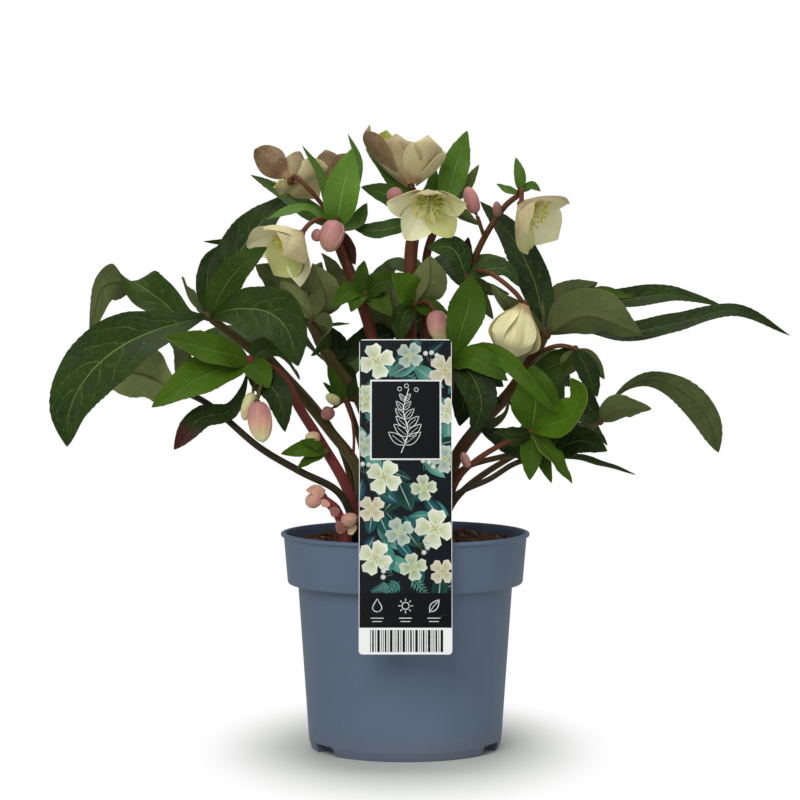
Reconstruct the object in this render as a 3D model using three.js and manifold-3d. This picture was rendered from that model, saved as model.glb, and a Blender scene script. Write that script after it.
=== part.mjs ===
// A hellebore in flower in its plastic nursery pot, with its hanging plant label.
// Millimetres, +Z up. The origin is the middle of the pot's underside, and the label faces -Y.

import * as THREE from 'three';
import { mergeVertices } from 'three/addons/utils/BufferGeometryUtils.js';
import Module from 'manifold-3d';

const wasm = await Module();
wasm.setup();

// Driving dimensions of the pot
const RIM_R = 85;
const POT_H = 148;
const COLLAR_TOP_R = 83;
const COLLAR_FOOT_R = 80.8;
const COLLAR_FOOT_Z = 113;
const BODY_TOP_R = 73.3;
const BODY_FOOT_R = 66;
const FOOT_R = 64;
const CHAMFER_H = 6;
const WALL = 1.6;
const LIP_H = 3;
const COLLAR_H = POT_H - LIP_H - COLLAR_FOOT_Z;
const FLOOR_Z = 5;
const PAD_R = 22;
const FOOT_RING_R = 54;
const FOOT_RECESS = 3;
const NOTCH_WIDTH = 22;
const NOTCH_H = 6.4;
const NOTCH_DEPTH = 8;
const NOTCH_ANGLES = [-147, -27, 93];
const POT_SIDES = 36;

// Soil, and the label with the tongue that hooks it over the rim
const SOIL_TOP_Z = 141.5;
const SOIL_CROWN = 3;
const SOIL_CROWN_R = 46;
const SOIL_BOTTOM_Z = 7;
const SOIL_CLEARANCE = 0.5;
const LABEL_W = 61;
const LABEL_FOOT = { y: -99.4, z: 77 };
const LABEL_HEAD = { y: -60.4, z: 281 };
const LABEL_T = 0.8;
const LABEL_CORNER = 2.5;
const TONGUE_W = 20;

// Clearance between pieces that touch, and the depth to which stalks are planted
const GAP = 0.3;

// Leaflets and petals: thickness, gutter fold, and share of the width at the base
const BLADE_T = 1.1;
const BLADE_FOLD = 0.22;
const PETAL_CUP = 0.16;
const BLADE_BASE = 0.13;
const BLADE_TIP = 0.05;
const BLADE_SETBACK = 1.2;
const PETAL_STEPS = 3;
const STALK_SIDES = 5;

const FINISHES = {
  pot: { color: '#60708a', roughness: 0.5 },
  soil: { color: '#2b1d14', roughness: 0.95 },
  label: { color: '#10161c', roughness: 0.35 },
  stem: { color: '#5e3a2a', roughness: 0.5 },
  leaf: { color: '#39592a', roughness: 0.45 },
  bract: { color: '#557c33', roughness: 0.5 },
  petal: { color: '#e2dfb6', roughness: 0.6 },
  bud: { color: '#c98d86', roughness: 0.55 },
};

// Ways an upper leaf face can look: to the front, to the back, up, or to the front and right
const FRONT = new THREE.Vector3(0, -0.86, 0.5);
const BACK = new THREE.Vector3(0, 0.86, 0.5);
const UP = new THREE.Vector3(0, -0.35, 0.94);
const RIGHT = new THREE.Vector3(0.62, -0.62, 0.48);

// The plant is laid out on a front elevation through the pot's axis: x across, z up.
// A depth then slides a point along its line of sight, so it keeps its place in that elevation.
const EYE = new THREE.Vector3(-4, -2000, 342);
const at = ([x, z, depth]) => new THREE.Vector3(x, 0, z).lerp(EYE, depth / EYE.y);
const curveThrough = (points) => new THREE.CatmullRomCurve3(points.map(at), false, 'centripetal');

function solidOf(geometry) {
  const bare = geometry.clone();
  bare.deleteAttribute('normal');
  bare.deleteAttribute('uv');
  const merged = mergeVertices(bare, 1e-4);
  const vertProperties = new Float32Array(merged.attributes.position.array);
  const triVerts = new Uint32Array(merged.index.array);
  return new wasm.Manifold(new wasm.Mesh({ numProp: 3, vertProperties, triVerts }));
}

function geometryOf(solid) {
  const { vertProperties, triVerts } = solid.getMesh();
  const geometry = new THREE.BufferGeometry();
  geometry.setAttribute('position', new THREE.BufferAttribute(new Float32Array(vertProperties), 3));
  geometry.setIndex(new THREE.BufferAttribute(new Uint32Array(triVerts), 1));
  geometry.computeVertexNormals();
  return geometry;
}

// One body from overlapping solids, without the specks that a cut or a join can leave beside it
function joined(solids) {
  const bodies = solids.reduce((whole, solid) => whole.add(solid)).decompose();
  return bodies.reduce((largest, body) => (body.volume() > largest.volume() ? body : largest));
}

// Frames along a curve whose normal starts at face, stays square to the curve and turns by twist
function framesAlong(curve, steps, face, twist) {
  const frames = [];
  const normal = face.clone();
  for (let step = 0; step <= steps; step += 1) {
    const tangent = curve.getTangentAt(step / steps);
    normal.addScaledVector(tangent, -normal.dot(tangent)).normalize();
    const turn = THREE.MathUtils.degToRad(twist) * (step / steps);
    const turned = normal.clone().applyAxisAngle(tangent, turn);
    const side = turned.clone().cross(tangent);
    frames.push({ place: curve.getPointAt(step / steps), normal: turned, side });
  }
  return frames;
}

// Bends an upright cylinder along a curve: size(t) gives the half width, the half thickness
// and how far the edges rise at each share t of the length. Every size is grown by grow.
function bent(curve, { sides, steps, face = FRONT, twist = 0, grow = 0, size }) {
  const geometry = new THREE.CylinderGeometry(1, 1, 1, sides, steps);
  const frames = framesAlong(curve, steps, face, twist);
  const position = geometry.attributes.position;
  for (let index = 0; index < position.count; index += 1) {
    const t = 0.5 - position.getY(index);
    const frame = frames[Math.round(t * steps)];
    const { half, thick, rise } = size(t);
    const across = position.getX(index);
    const through = position.getZ(index);
    const point = frame.place.clone();
    point.addScaledVector(frame.side, across * (half + grow));
    point.addScaledVector(frame.normal, through * (thick + grow) + Math.abs(across) * rise);
    position.setXYZ(index, point.x, point.y, point.z);
  }
  return solidOf(geometry);
}

// A pointed leaflet, widest just before its middle, with its edges raised as a shallow gutter
function blade(points, { width, face = FRONT, twist = 0, grow = 0 }) {
  const size = (t) => {
    const least = t < 0.5 ? BLADE_BASE : BLADE_TIP;
    const half = (width / 2) * Math.max(least, Math.sin(Math.PI * t ** 0.8) ** 0.8);
    return { half, thick: BLADE_T * (0.9 - 0.45 * t), rise: BLADE_FOLD * half };
  };
  return bent(curveThrough(points), { sides: 4, steps: points.length + 1, face, twist, grow, size });
}

// A round stalk that tapers from one radius to the other
function stalk(points, startR, endR, grow = 0) {
  const size = (t) => {
    const radius = THREE.MathUtils.lerp(startR, endR, t);
    return { half: radius, thick: radius, rise: 0 };
  };
  const steps = Math.max(3, Math.round(1.5 * (points.length - 1)));
  return bent(curveThrough(points), { sides: STALK_SIDES, steps, grow, size });
}

// A small round knot that ties leaflets or a flower to the end of its stalk
function knot(place, radius) {
  const ball = new THREE.IcosahedronGeometry(radius, 0);
  ball.translate(...at(place).toArray());
  return solidOf(ball);
}

// A stem is a stalk with a knot over its end
function stem({ points, startR, endR }, grow = 0) {
  return stalk(points, startR, endR, grow).add(knot(points.at(-1), endR + 0.6 + grow));
}

// Stems that carry flowers. Each list of points runs from the soil up, as [x, z, depth].
const STEMS = {
  stem_left: {
    points: [
      [-17, 118, -10], [-18, 160, -12], [-20, 210, -10],
      [-33, 241, -6], [-57, 275, -3], [-66, 300, 0],
    ],
    startR: 4.8,
    endR: 3.6,
  },
  stem_tall_left: {
    points: [[-7, 118, 10], [-12, 220, 6], [-22, 278, 2], [-31, 308, 0], [-49, 353, 2]],
    startR: 5,
    endR: 3.6,
  },
  stem_centre: {
    points: [[0, 118, -6], [3, 237, -4], [3, 306, -2], [5, 346, 0], [9, 362, 2]],
    startR: 5.4,
    endR: 4.4,
  },
  stem_centre_rear: {
    points: [[10, 118, 12], [12, 237, 12], [14, 306, 12], [15, 338, 12], [26, 368, 16]],
    startR: 4.4,
    endR: 2.6,
  },
  stem_right: {
    points: [
      [15, 118, -3], [24, 203, 0], [34, 272, 2], [42, 319, 0],
      [52, 345, -2], [68, 370, -4], [78, 378, -6],
    ],
    startR: 3.8,
    endR: 1.9,
  },
  shoot_front: {
    points: [[-40, 118, -60], [-42, 150, -62], [-48, 163, -63], [-57, 171, -64]],
    startR: 4.2,
    endR: 3,
  },
};

// Leaves: a stalk from the soil or from a stem, and the leaflets that spread from its end.
// Each leaflet is its points after the palm, its width, the way its upper face looks, and its twist.
const LEAVES = {
  leaf_left_high: {
    stalk: [
      [-28, 118, -22], [-30, 160, -23], [-33, 191, -24], [-51, 216, -22], [-78, 248, -22],
      [-106, 273, -26],
    ],
    palm: [-134, 295, -30],
    startR: 4.2,
    endR: 2.8,
    blades: [
      [
        [
          [-152, 291, -42], [-174, 284, -55], [-196, 273, -68], [-216, 255, -80], [-229, 231, -90],
          [-231, 206, -98],
        ],
        42, FRONT,
      ],
      [
        [
          [-150, 293, -16], [-169, 308, 0], [-189, 319, 14], [-205, 315, 22], [-211, 299, 26],
          [-215, 280, 28],
        ],
        28, FRONT, 165,
      ],
      [[[-113, 300, -60], [-92, 297, -78], [-80, 285, -90], [-73, 261, -96]], 36, FRONT],
      [[[-135, 316, -24], [-133, 332, -20], [-125, 344, -16]], 15, FRONT],
      [[[-125, 316, -14], [-114, 336, 0], [-98, 359, 20], [-77, 379, 40]], 31, FRONT],
      [[[-121, 318, -38], [-109, 332, -42], [-94, 342, -42]], 22, FRONT],
      [[[-146, 306, -6], [-152, 322, 10]], 19, BACK],
      [[[-119, 304, -10], [-104, 311, 0]], 15, BACK],
      [[[-115, 327, 26], [-117, 344, 38], [-137, 346, 44]], 14, BACK],
    ],
  },
  leaf_left_bright: {
    stalk: [
      [-31, 118, -36], [-33, 150, -37], [-39, 176, -40], [-58, 210, -42], [-72, 232, -44],
      [-86, 256, -48],
    ],
    palm: [-106, 265, -52],
    startR: 4.2,
    endR: 2.8,
    blades: [
      [[[-132, 272, -72], [-164, 281, -90]], 24, FRONT],
      [[[-140, 253, -76], [-173, 233, -94]], 27, FRONT],
      [[[-99, 256, -64], [-93, 246, -72]], 18, FRONT],
      [[[-96, 272, -42], [-82, 266, -28], [-72, 252, -16]], 22, FRONT],
      [[[-98, 253, -62], [-87, 241, -72], [-82, 216, -76]], 20, FRONT],
      [[[-111, 244, -58], [-120, 230, -62], [-140, 225, -70], [-158, 204, -76]], 16, FRONT],
    ],
  },
  leaf_left_low: {
    stalk: [
      [-33, 118, -50], [-35, 150, -51], [-45, 174, -54], [-72, 189, -56], [-99, 205, -56],
      [-136, 236, -54],
    ],
    palm: [-155, 245, -52],
    startR: 2.7,
    endR: 2.1,
    blades: [
      [[[-183, 256, -36], [-220, 254, -14]], 43, BACK],
      [[[-148, 262, -34], [-165, 292, -14]], 22, BACK],
    ],
  },
  leaf_stem_left: {
    on: 'stem_left',
    palm: [-63, 293, -6],
    blades: [
      [[[-74, 306, -14], [-85, 319, -20]], 16, BACK],
      [[[-54, 306, -18], [-63, 331, -28]], 22, BACK],
      [[[-75, 309, 14], [-97, 331, 34]], 20, BACK],
      [[[-52, 286, -18], [-64, 268, -32]], 20, BACK],
      [[[-52, 289, -12], [-38, 290, -20]], 7, UP],
      [[[-58, 306, 20], [-49, 330, 30]], 18, BACK],
    ],
  },
  leaf_stem_centre: {
    on: 'stem_tall_left',
    palm: [-27, 310, -7],
    blades: [
      [[[-38, 312, -24], [-50, 301, -38]], 14, FRONT],
      [[[-33, 309, -22], [-37, 298, -36]], 14, FRONT],
      [[[-18, 305, -16], [-9, 295, -22]], 14, FRONT],
      [[[-18, 317, -14], [-5, 322, -20]], 17, FRONT],
      [[[-30, 320, -8], [-28, 333, -8]], 11, FRONT],
      [[[-44, 318, 6], [-57, 338, 14]], 20, BACK],
    ],
  },
  leaf_centre_bright: {
    on: ['stem_centre', 'leaf_stem_centre'],
    palm: [6, 303, -7],
    blades: [
      [[[1, 314, -18], [-9, 324, -24]], 21, FRONT],
      [[[16, 318, -16], [17, 336, -20]], 27, BACK],
      [[[-1, 296, -14], [-4, 278, -16]], 16, FRONT],
      [[[18, 300, -14], [30, 296, -16]], 13, FRONT],
    ],
  },
  leaf_centre_low: {
    stalk: [[17, 118, -28], [19, 160, -30], [23, 215, -34]],
    palm: [31, 262, -38],
    startR: 2.2,
    endR: 1.9,
    blades: [
      [[[36, 282, -42], [41, 302, -40], [44, 323, -38]], 30, FRONT],
      [[[48, 266, -56], [70, 251, -64]], 18, FRONT],
      [[[51, 271, -50], [66, 267, -60], [80, 254, -70], [92, 241, -73], [104, 228, -72]], 12, FRONT],
      [[[44, 256, -54], [52, 236, -60], [46, 214, -60]], 24, FRONT],
      [[[46, 254, -38], [56, 240, -34], [66, 236, -30]], 16, FRONT],
    ],
  },
  leaf_right_high: {
    stalk: [
      [22, 118, -16], [24, 160, -17], [34, 197, -18], [51, 221, -16], [72, 244, -15],
      [86, 266, -15],
    ],
    palm: [95, 283, -15],
    startR: 5,
    endR: 3.8,
    blades: [
      [[[88, 318, 0], [71, 351, 18], [51, 373, 32]], 23, FRONT],
      [[[78, 297, -26], [65, 308, -36], [58, 317, -38]], 13, BACK],
      [[[108, 306, 2], [131, 318, 14]], 24, BACK],
      [[[124, 296, -34], [161, 283, -44]], 40, BACK],
      [[[120, 303, 10], [150, 306, 26], [181, 310, 36], [216, 302, 38]], 18, FRONT],
      [[[122, 288, -4], [150, 284, -8], [185, 290, -16], [225, 299, -22], [262, 282, -28]], 16, FRONT],
      [[[116, 297, -6], [133, 310, 4], [155, 308, 8]], 14, FRONT],
    ],
  },
  leaf_right_hanging: {
    on: 'leaf_right_high',
    stalk: [[84, 264, -15], [95, 272, -26], [106, 275, -30]],
    palm: [116, 273, -32],
    startR: 1.7,
    endR: 1.5,
    blades: [
      [[[124, 258, -36], [131, 240, -36]], 15, FRONT],
      [[[112, 262, -26], [106, 253, -20]], 14, BACK],
      [[[126, 266, -26], [136, 252, -20]], 10, BACK],
      [[[105, 263, -24], [81, 253, -30]], 18, FRONT],
    ],
  },
  leaf_right_low: {
    stalk: [[26, 118, -38], [27, 150, -39], [34, 180, -42], [44, 193, -44], [65, 207, -48]],
    palm: [86, 216, -52],
    startR: 2.1,
    endR: 1.8,
    blades: [
      [[[89, 238, -58], [87, 262, -56]], 32, FRONT],
      [[[96, 236, -50], [105, 260, -46]], 24, FRONT],
      [[[98, 221, -62], [112, 226, -72], [119, 240, -74], [113, 253, -68]], 26, FRONT],
      [[[86, 200, -64], [85, 183, -72]], 15, FRONT],
      [[[98, 202, -64], [114, 181, -70]], 18, RIGHT],
      [[[93, 200, -56], [100, 181, -58]], 10, FRONT],
      [[[79, 228, -46], [70, 238, -42]], 7, FRONT],
      [[[74, 214, -62], [60, 216, -68]], 11, FRONT],
    ],
  },
  leaf_right_far: {
    stalk: [[26, 118, -24], [28, 160, -25], [36, 188, -27], [73, 201, -26], [112, 211, -20]],
    palm: [133, 223, -18],
    startR: 2.1,
    endR: 1.8,
    blades: [
      [[[147, 232, -30], [168, 232, -40]], 21, BACK],
      [
        [
          [142, 238, -12], [153, 248, -6], [168, 252, 0], [189, 244, 4], [205, 227, 4],
          [214, 202, 0],
        ],
        25, BACK,
      ],
      [[[124, 236, -12], [122, 252, -4]], 13, FRONT],
    ],
  },
  leaf_right_edge: {
    stalk: [[14, 118, -44], [18, 150, -45], [32, 171, -46], [58, 184, -42], [76, 195, -38]],
    palm: [98, 200, -36],
    startR: 2.1,
    endR: 1.8,
    blades: [
      [[[120, 210, -46], [138, 203, -54]], 20, FRONT],
      [[[122, 197, -38], [157, 187, -44]], 9, UP],
      [[[104, 211, -42], [112, 226, -42]], 14, FRONT],
      [[[88, 208, -28], [82, 220, -20]], 12, FRONT],
    ],
  },
  leaf_inner_left: {
    stalk: [[-16, 118, 38], [-34, 220, 42]],
    palm: [-72, 303, 38],
    startR: 2.4,
    endR: 1.9,
    blades: [
      [[[-83, 315, 42], [-102, 330, 48]], 24, BACK],
      [[[-85, 300, 42], [-111, 306, 48]], 16, BACK],
      [[[-64, 315, 40], [-57, 332, 44]], 18, BACK],
      [[[-62, 293, 34], [-57, 276, 30]], 18, BACK],
      [[[-79, 289, 40], [-94, 275, 44]], 18, FRONT],
    ],
  },
  leaf_inner_centre: {
    stalk: [[0, 118, 22], [-4, 210, 27]],
    palm: [-5, 284, 27],
    startR: 2.2,
    endR: 1.9,
    blades: [
      [[[-17, 292, 30], [-32, 306, 32]], 24, BACK],
      [[[-21, 280, 26], [-40, 276, 24]], 20, FRONT],
      [[[-9, 306, 34], [-13, 332, 36]], 20, BACK],
      [[[10, 293, 30], [24, 303, 28]], 20, FRONT],
      [[[13, 280, 26], [29, 275, 22]], 16, FRONT],
    ],
  },
  leaf_inner_low: {
    on: ['stem_left', 'leaf_stem_left'],
    palm: [-48, 263, -4],
    blades: [
      [[[-46, 274, 5], [-51, 288, 9]], 14, FRONT],
      [[[-38, 270, 6], [-33, 284, 10]], 14, FRONT],
      [[[-40, 254, -2], [-38, 240, -4]], 13, FRONT],
    ],
  },
  leaf_side_left: {
    on: ['leaf_left_high', 'stem_left'],
    stalk: [[-36, 195, -25], [-35, 212, -28], [-37, 228, -28]],
    palm: [-40, 238, -27],
    startR: 1,
    endR: 0.9,
    blades: [
      [[[-47, 248, -30], [-53, 262, -32]], 9, FRONT],
      [[[-50, 244, -32], [-56, 250, -32]], 6, FRONT],
      [[[-36, 245, -28], [-34, 253, -30]], 8, FRONT],
    ],
  },
  leaf_inner_right: {
    on: 'stem_right',
    palm: [37, 268, 4],
    blades: [
      [[[50, 259, 9], [67, 247, 14]], 18, FRONT],
      [[[41, 246, 9], [37, 220, 12]], 22, FRONT],
      [[[52, 247, 13], [56, 221, 17]], 18, FRONT],
      [[[51, 270, 10], [65, 275, 16]], 14, FRONT],
    ],
  },
  leaf_cane_right: {
    on: 'leaf_right_high',
    palm: [50, 218, -22],
    blades: [
      [[[65, 212, -34], [87, 196, -44]], 16, FRONT],
      [[[60, 221, -16], [69, 229, -10], [71, 239, -8]], 7, BACK],
    ],
  },
  leaf_low_bright: {
    on: ['leaf_left_bright', 'leaf_left_low'],
    palm: [-54, 202, -48],
    blades: [
      [[[-66, 204, -58], [-85, 201, -68]], 12, FRONT],
      [[[-64, 198, -58], [-74, 191, -64]], 8, FRONT],
      [[[-63, 208, -56], [-72, 210, -60]], 7, FRONT],
    ],
  },
};

// Leaves on the far side of the plant: one stalk each, with leaflets fanned out around its palm
const REAR_LEAVES = {
  leaf_rear_left: { root: [-26, 118, 24], via: [-46, 210, 50], palm: [-98, 274, 70], reach: 62, turn: 125 },
  leaf_rear_centre: { root: [-10, 118, 34], via: [-10, 200, 62], palm: [-6, 256, 88], reach: 60, turn: 90 },
  leaf_rear_tall: { root: [4, 118, 26], via: [8, 230, 34], palm: [10, 322, 46], reach: 50, turn: 75 },
  leaf_rear_low: { root: [-8, 118, 50], via: [-4, 160, 66], palm: [2, 192, 96], reach: 50, turn: 95 },
  leaf_rear_right: { root: [18, 118, 30], via: [40, 205, 52], palm: [80, 256, 74], reach: 60, turn: 60 },
  leaf_rear_right_low: { root: [22, 118, 26], via: [33, 168, 38], palm: [100, 216, 52], reach: 44, turn: 45 },
};
const REAR_FAN = [-104, -52, 0, 52, 104];

// Bracts: the small leaves around the flowers, in tufts that grow on the stems
const BRACTS = {
  bracts_tall_left: {
    on: 'stem_tall_left',
    palm: [-47, 354, -5],
    blades: [
      [[[-43, 378, -14], [-36, 409, -14]], 24, FRONT],
      [[[-68, 368, -10], [-94, 361, -22]], 12, UP],
      [[[-33, 360, 2], [-26, 372, 6]], 12, FRONT],
      [[[-52, 372, 4], [-58, 392, 6], [-70, 411, 6]], 7, FRONT],
      [[[-68, 368, 24], [-89, 382, 32], [-105, 391, 34]], 14, FRONT],
      [[[-36, 381, 8], [-32, 400, 14], [-39, 419, 18]], 8, FRONT],
      [[[-40, 342, 0], [-34, 330, -4]], 11, BACK],
    ],
  },
  bracts_centre: {
    on: 'stem_centre',
    palm: [6, 360, 6],
    blades: [
      [[[-3, 382, 16], [-14, 396, 26], [-27, 409, 32]], 14, FRONT],
      [[[-10, 376, 2], [-30, 383, -4]], 16, FRONT],
      [[[18, 380, 26], [20, 398, 30]], 13, FRONT],
      [[[-9, 355, 2], [-23, 353, 4], [-38, 357, 6]], 13, FRONT],
    ],
  },
  bracts_centre_right: {
    on: 'stem_centre_rear',
    palm: [27, 370, 18],
    blades: [
      [[[35, 399, 20], [42, 421, 16]], 20, FRONT],
      [[[42, 384, 22], [50, 398, 22]], 10, BACK],
      [[[36, 366, 26], [50, 357, 28]], 9, BACK],
    ],
  },
  bracts_mid_right: {
    on: 'stem_right',
    palm: [42, 322, -5],
    blades: [
      [[[32, 341, -12], [15, 342, -18]], 18, FRONT],
      [[[52, 326, -12], [68, 327, -16], [78, 315, -18]], 13, FRONT],
      [[[54, 314, 4], [71, 310, 6]], 10, BACK],
      [[[50, 332, 2], [69, 334, 4]], 9, BACK],
      [[[48, 311, 6], [60, 293, 10]], 12, BACK],
      [[[41, 336, -2], [43, 349, -4]], 10, BACK],
    ],
  },
  bracts_right: {
    on: 'stem_right',
    palm: [78, 379, -7],
    blades: [
      [[[78, 390, -10], [75, 403, -10]], 8, FRONT],
      [[[86, 384, -10], [92, 380, -14]], 6, FRONT],
      [[[69, 381, -10], [62, 385, -12]], 6, FRONT],
    ],
  },
};

// Flowers: where the petals meet, the way the flower opens, its radius, its stalk from the stem,
// and its petals: each one's turn around the heart, how far it closes into a bell (0 is flat and
// 1 is a tube), and its length as a share of the radius.
const FLOWERS = {
  flower_front: {
    on: 'stem_centre',
    heart: [17, 376, -24],
    opens: [-0.05, -0.74, -0.67],
    radius: 35,
    stalk: [[9, 361, 0], [13, 374, -2], [16, 380, -14]],
    petals: [[92, 0.56, 0.95], [18, 0.34, 1], [162, 0.3, 1.08], [234, 0.34, 1.08], [304, 0.34, 1]],
  },
  flower_top: {
    on: ['stem_centre', 'flower_front', 'bracts_centre'],
    heart: [4, 384, 0],
    opens: [0, 0.25, 0.97],
    radius: 41,
    stalk: [[9, 361, 0], [11, 372, 4], [7, 379, 3]],
    petals: [[58, 0.72, 1], [125, 0.7, 1], [185, 0.58, 0.95], [352, 0.7, 1.44], [312, 0.76, 1.36]],
  },
  flower_left_top: {
    on: ['stem_tall_left', 'bracts_tall_left'],
    heart: [-78, 387, 4],
    opens: [-0.1, 0.9, 0.4],
    radius: 32,
    stalk: [[-49, 357, 3], [-56, 370, 0], [-66, 382, -4], [-75, 390, -1]],
    petals: [[38, 0.15, 1.08], [110, 0.3, 0.75], [168, 0.22, 1], [220, 0.25, 1.05], [292, 0.35, 0.66]],
  },
  flower_left_face: {
    on: ['stem_tall_left', 'bracts_tall_left'],
    heart: [-71, 351, -34],
    opens: [-0.66, -0.42, -0.62],
    radius: 38,
    stalk: [[-49, 354, -2], [-57, 361, -18], [-65, 358, -30]],
    petals: [[160, 0.5, 1.18], [85, 0.55, 0.9], [10, 0.7, 0.98], [218, 0.5, 1.1], [268, 0.45, 1.08]],
  },
  flower_back_tall: {
    on: ['stem_tall_left', 'bracts_tall_left', 'flower_left_top'],
    heart: [-50, 388, 18],
    opens: [0.1, 0.6, 0.8],
    radius: 24,
    stalk: [[-48, 357, 4], [-50, 372, 14], [-50, 386, 18]],
    petals: [[0, 0.6, 1], [72, 0.6, 1], [144, 0.6, 1], [216, 0.6, 1], [288, 0.6, 1]],
  },
  flower_right: {
    on: ['stem_right', 'bracts_right'],
    heart: [79, 371, -20],
    opens: [0.66, -0.4, -0.63],
    radius: 39,
    stalk: [[76, 378, -8], [79, 382, -14], [79, 377, -18]],
    petals: [[75, 0.6, 1], [128, 0.4, 0.7], [192, 0.6, 1], [262, 0.6, 1.02], [340, 0.56, 1.08]],
  },
  flower_bell: {
    on: ['stem_right', 'bracts_mid_right'],
    heart: [81, 303, -38],
    opens: [-0.32, -0.15, -0.93],
    radius: 32,
    stalk: [[46, 326, -2], [60, 323, -36], [75, 311, -40]],
    petals: [[100, 1.2, 0.98], [28, 1.16, 1.02], [172, 1.22, 1], [244, 1.16, 1.06], [316, 1.2, 1]],
  },
};

// Buds: an egg between a foot and a tip, its width, and its stalk where it has one
const BUDS = {
  bud_tall_left: {
    on: ['stem_tall_left', 'bracts_tall_left', 'flower_left_face'],
    foot: [-47, 360, -20],
    tip: [-53, 339, -26],
    width: 16,
    stalk: [[-48, 352, -3], [-46, 362, -14]],
  },
  bud_tall_left_small: {
    on: 'bud_tall_left',
    foot: [-57, 353, -22],
    tip: [-63, 347, -22],
    width: 8,
  },
  bud_centre_small: {
    on: 'stem_centre',
    foot: [-5, 374, -10],
    tip: [-10, 382, -12],
    width: 11,
    stalk: [[7, 360, -2], [0, 366, -8]],
  },
  bud_right_pink: {
    on: 'stem_right',
    foot: [48, 365, -8],
    tip: [42, 383, -10],
    width: 10,
    stalk: [[54, 348, -4], [51, 357, -8]],
  },
  bud_right_small: {
    on: 'stem_right',
    foot: [63, 363, -5],
    tip: [62, 373, -12],
    width: 6,
  },
  bud_centre: {
    on: 'leaf_centre_bright',
    foot: [20, 299, -26],
    tip: [25, 277, -30],
    width: 14,
    stalk: [[7, 303, -8], [15, 305, -20]],
  },
  bud_left_pink: {
    on: 'leaf_left_bright',
    foot: [-101, 237, -78],
    tip: [-97, 209, -84],
    width: 15.5,
    stalk: [[-95, 250, -62], [-99, 246, -74]],
  },
  bud_low_brown: {
    on: ['stem_left', 'leaf_side_left'],
    foot: [-50, 232, -32],
    tip: [-56, 225, -35],
    width: 9,
    stalk: [[-30, 236, -10], [-41, 238, -27]],
  },
  bud_pale: {
    on: ['leaf_side_left', 'bud_low_brown'],
    foot: [-45, 236, -31],
    tip: [-54, 241, -36],
    width: 7,
  },
  bud_withered: {
    on: ['leaf_left_bright', 'bud_left_pink'],
    foot: [-104, 243, -69],
    tip: [-110, 224, -73],
    width: 9,
    stalk: [[-101, 254, -62]],
  },
  bud_low_peach: {
    on: ['leaf_left_bright', 'leaf_low_bright'],
    foot: [-60, 213, -46],
    tip: [-67, 210, -56],
    width: 9,
  },
  bud_shoot_pink: {
    on: 'shoot_front',
    foot: [-58, 171, -66],
    tip: [-68, 167, -70],
    width: 10,
  },
  bud_shoot_low: {
    on: 'shoot_front',
    foot: [-43, 155, -65],
    tip: [-33, 157, -72],
    width: 9,
  },
  bud_right_low: {
    on: 'leaf_right_low',
    foot: [43, 192, -45],
    tip: [39, 202, -52],
    width: 6,
  },
};

// The pot's section: out along the underside, up the outside, over the lip and down the inside
function potProfile() {
  const innerTop = COLLAR_TOP_R - WALL;
  const innerStep = COLLAR_FOOT_R - WALL;
  return [
    [0, 0], [PAD_R, 0], [PAD_R + 2, FOOT_RECESS], [FOOT_RING_R - 2, FOOT_RECESS], [FOOT_RING_R, 0],
    [FOOT_R, 0], [BODY_FOOT_R, CHAMFER_H], [BODY_TOP_R, COLLAR_FOOT_Z], [COLLAR_FOOT_R, COLLAR_FOOT_Z],
    [COLLAR_TOP_R, POT_H - LIP_H], [RIM_R, POT_H - LIP_H + 0.6], [RIM_R, POT_H - 1], [RIM_R - 1, POT_H],
    [innerTop + 0.6, POT_H], [innerTop, POT_H - LIP_H],
    [innerStep, COLLAR_FOOT_Z + WALL], [BODY_TOP_R - WALL, COLLAR_FOOT_Z + WALL],
    [BODY_FOOT_R - WALL, CHAMFER_H], [BODY_FOOT_R - WALL - 1.5, FLOOR_Z], [0, FLOOR_Z],
  ];
}

function lathed(profile) {
  const outline = profile.map(([radius, z]) => new THREE.Vector2(radius, z));
  const geometry = new THREE.LatheGeometry(outline, POT_SIDES);
  geometry.rotateX(Math.PI / 2);
  return solidOf(geometry);
}

// The moulded shell, with three notches in its foot that open into it as drain holes
function pot() {
  let shell = lathed(potProfile());
  for (const angle of NOTCH_ANGLES) {
    const notch = new THREE.BoxGeometry(2 * NOTCH_DEPTH, NOTCH_WIDTH, 2 * NOTCH_H);
    notch.translate(FOOT_R, 0, 0);
    notch.rotateZ(THREE.MathUtils.degToRad(angle));
    shell = shell.subtract(solidOf(notch));
  }
  return shell;
}

// The ball of soil fills the pot to below its lip, and has a socket for each planted stalk
function soil(planted) {
  const clear = WALL + SOIL_CLEARANCE;
  const stepZ = COLLAR_FOOT_Z + WALL + GAP;
  const collarR = COLLAR_FOOT_R + (COLLAR_TOP_R - COLLAR_FOOT_R) * ((SOIL_TOP_Z - COLLAR_FOOT_Z) / COLLAR_H);
  const ball = lathed([
    [0, SOIL_BOTTOM_Z], [BODY_FOOT_R - clear, SOIL_BOTTOM_Z], [BODY_TOP_R - clear, stepZ],
    [COLLAR_FOOT_R - clear, stepZ], [collarR - clear, SOIL_TOP_Z - 1],
    [SOIL_CROWN_R, SOIL_TOP_Z + 1], [0, SOIL_TOP_Z + SOIL_CROWN],
  ]);
  return planted.reduce((ground, part) => ground.subtract(stem(part, GAP)), ball);
}

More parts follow.
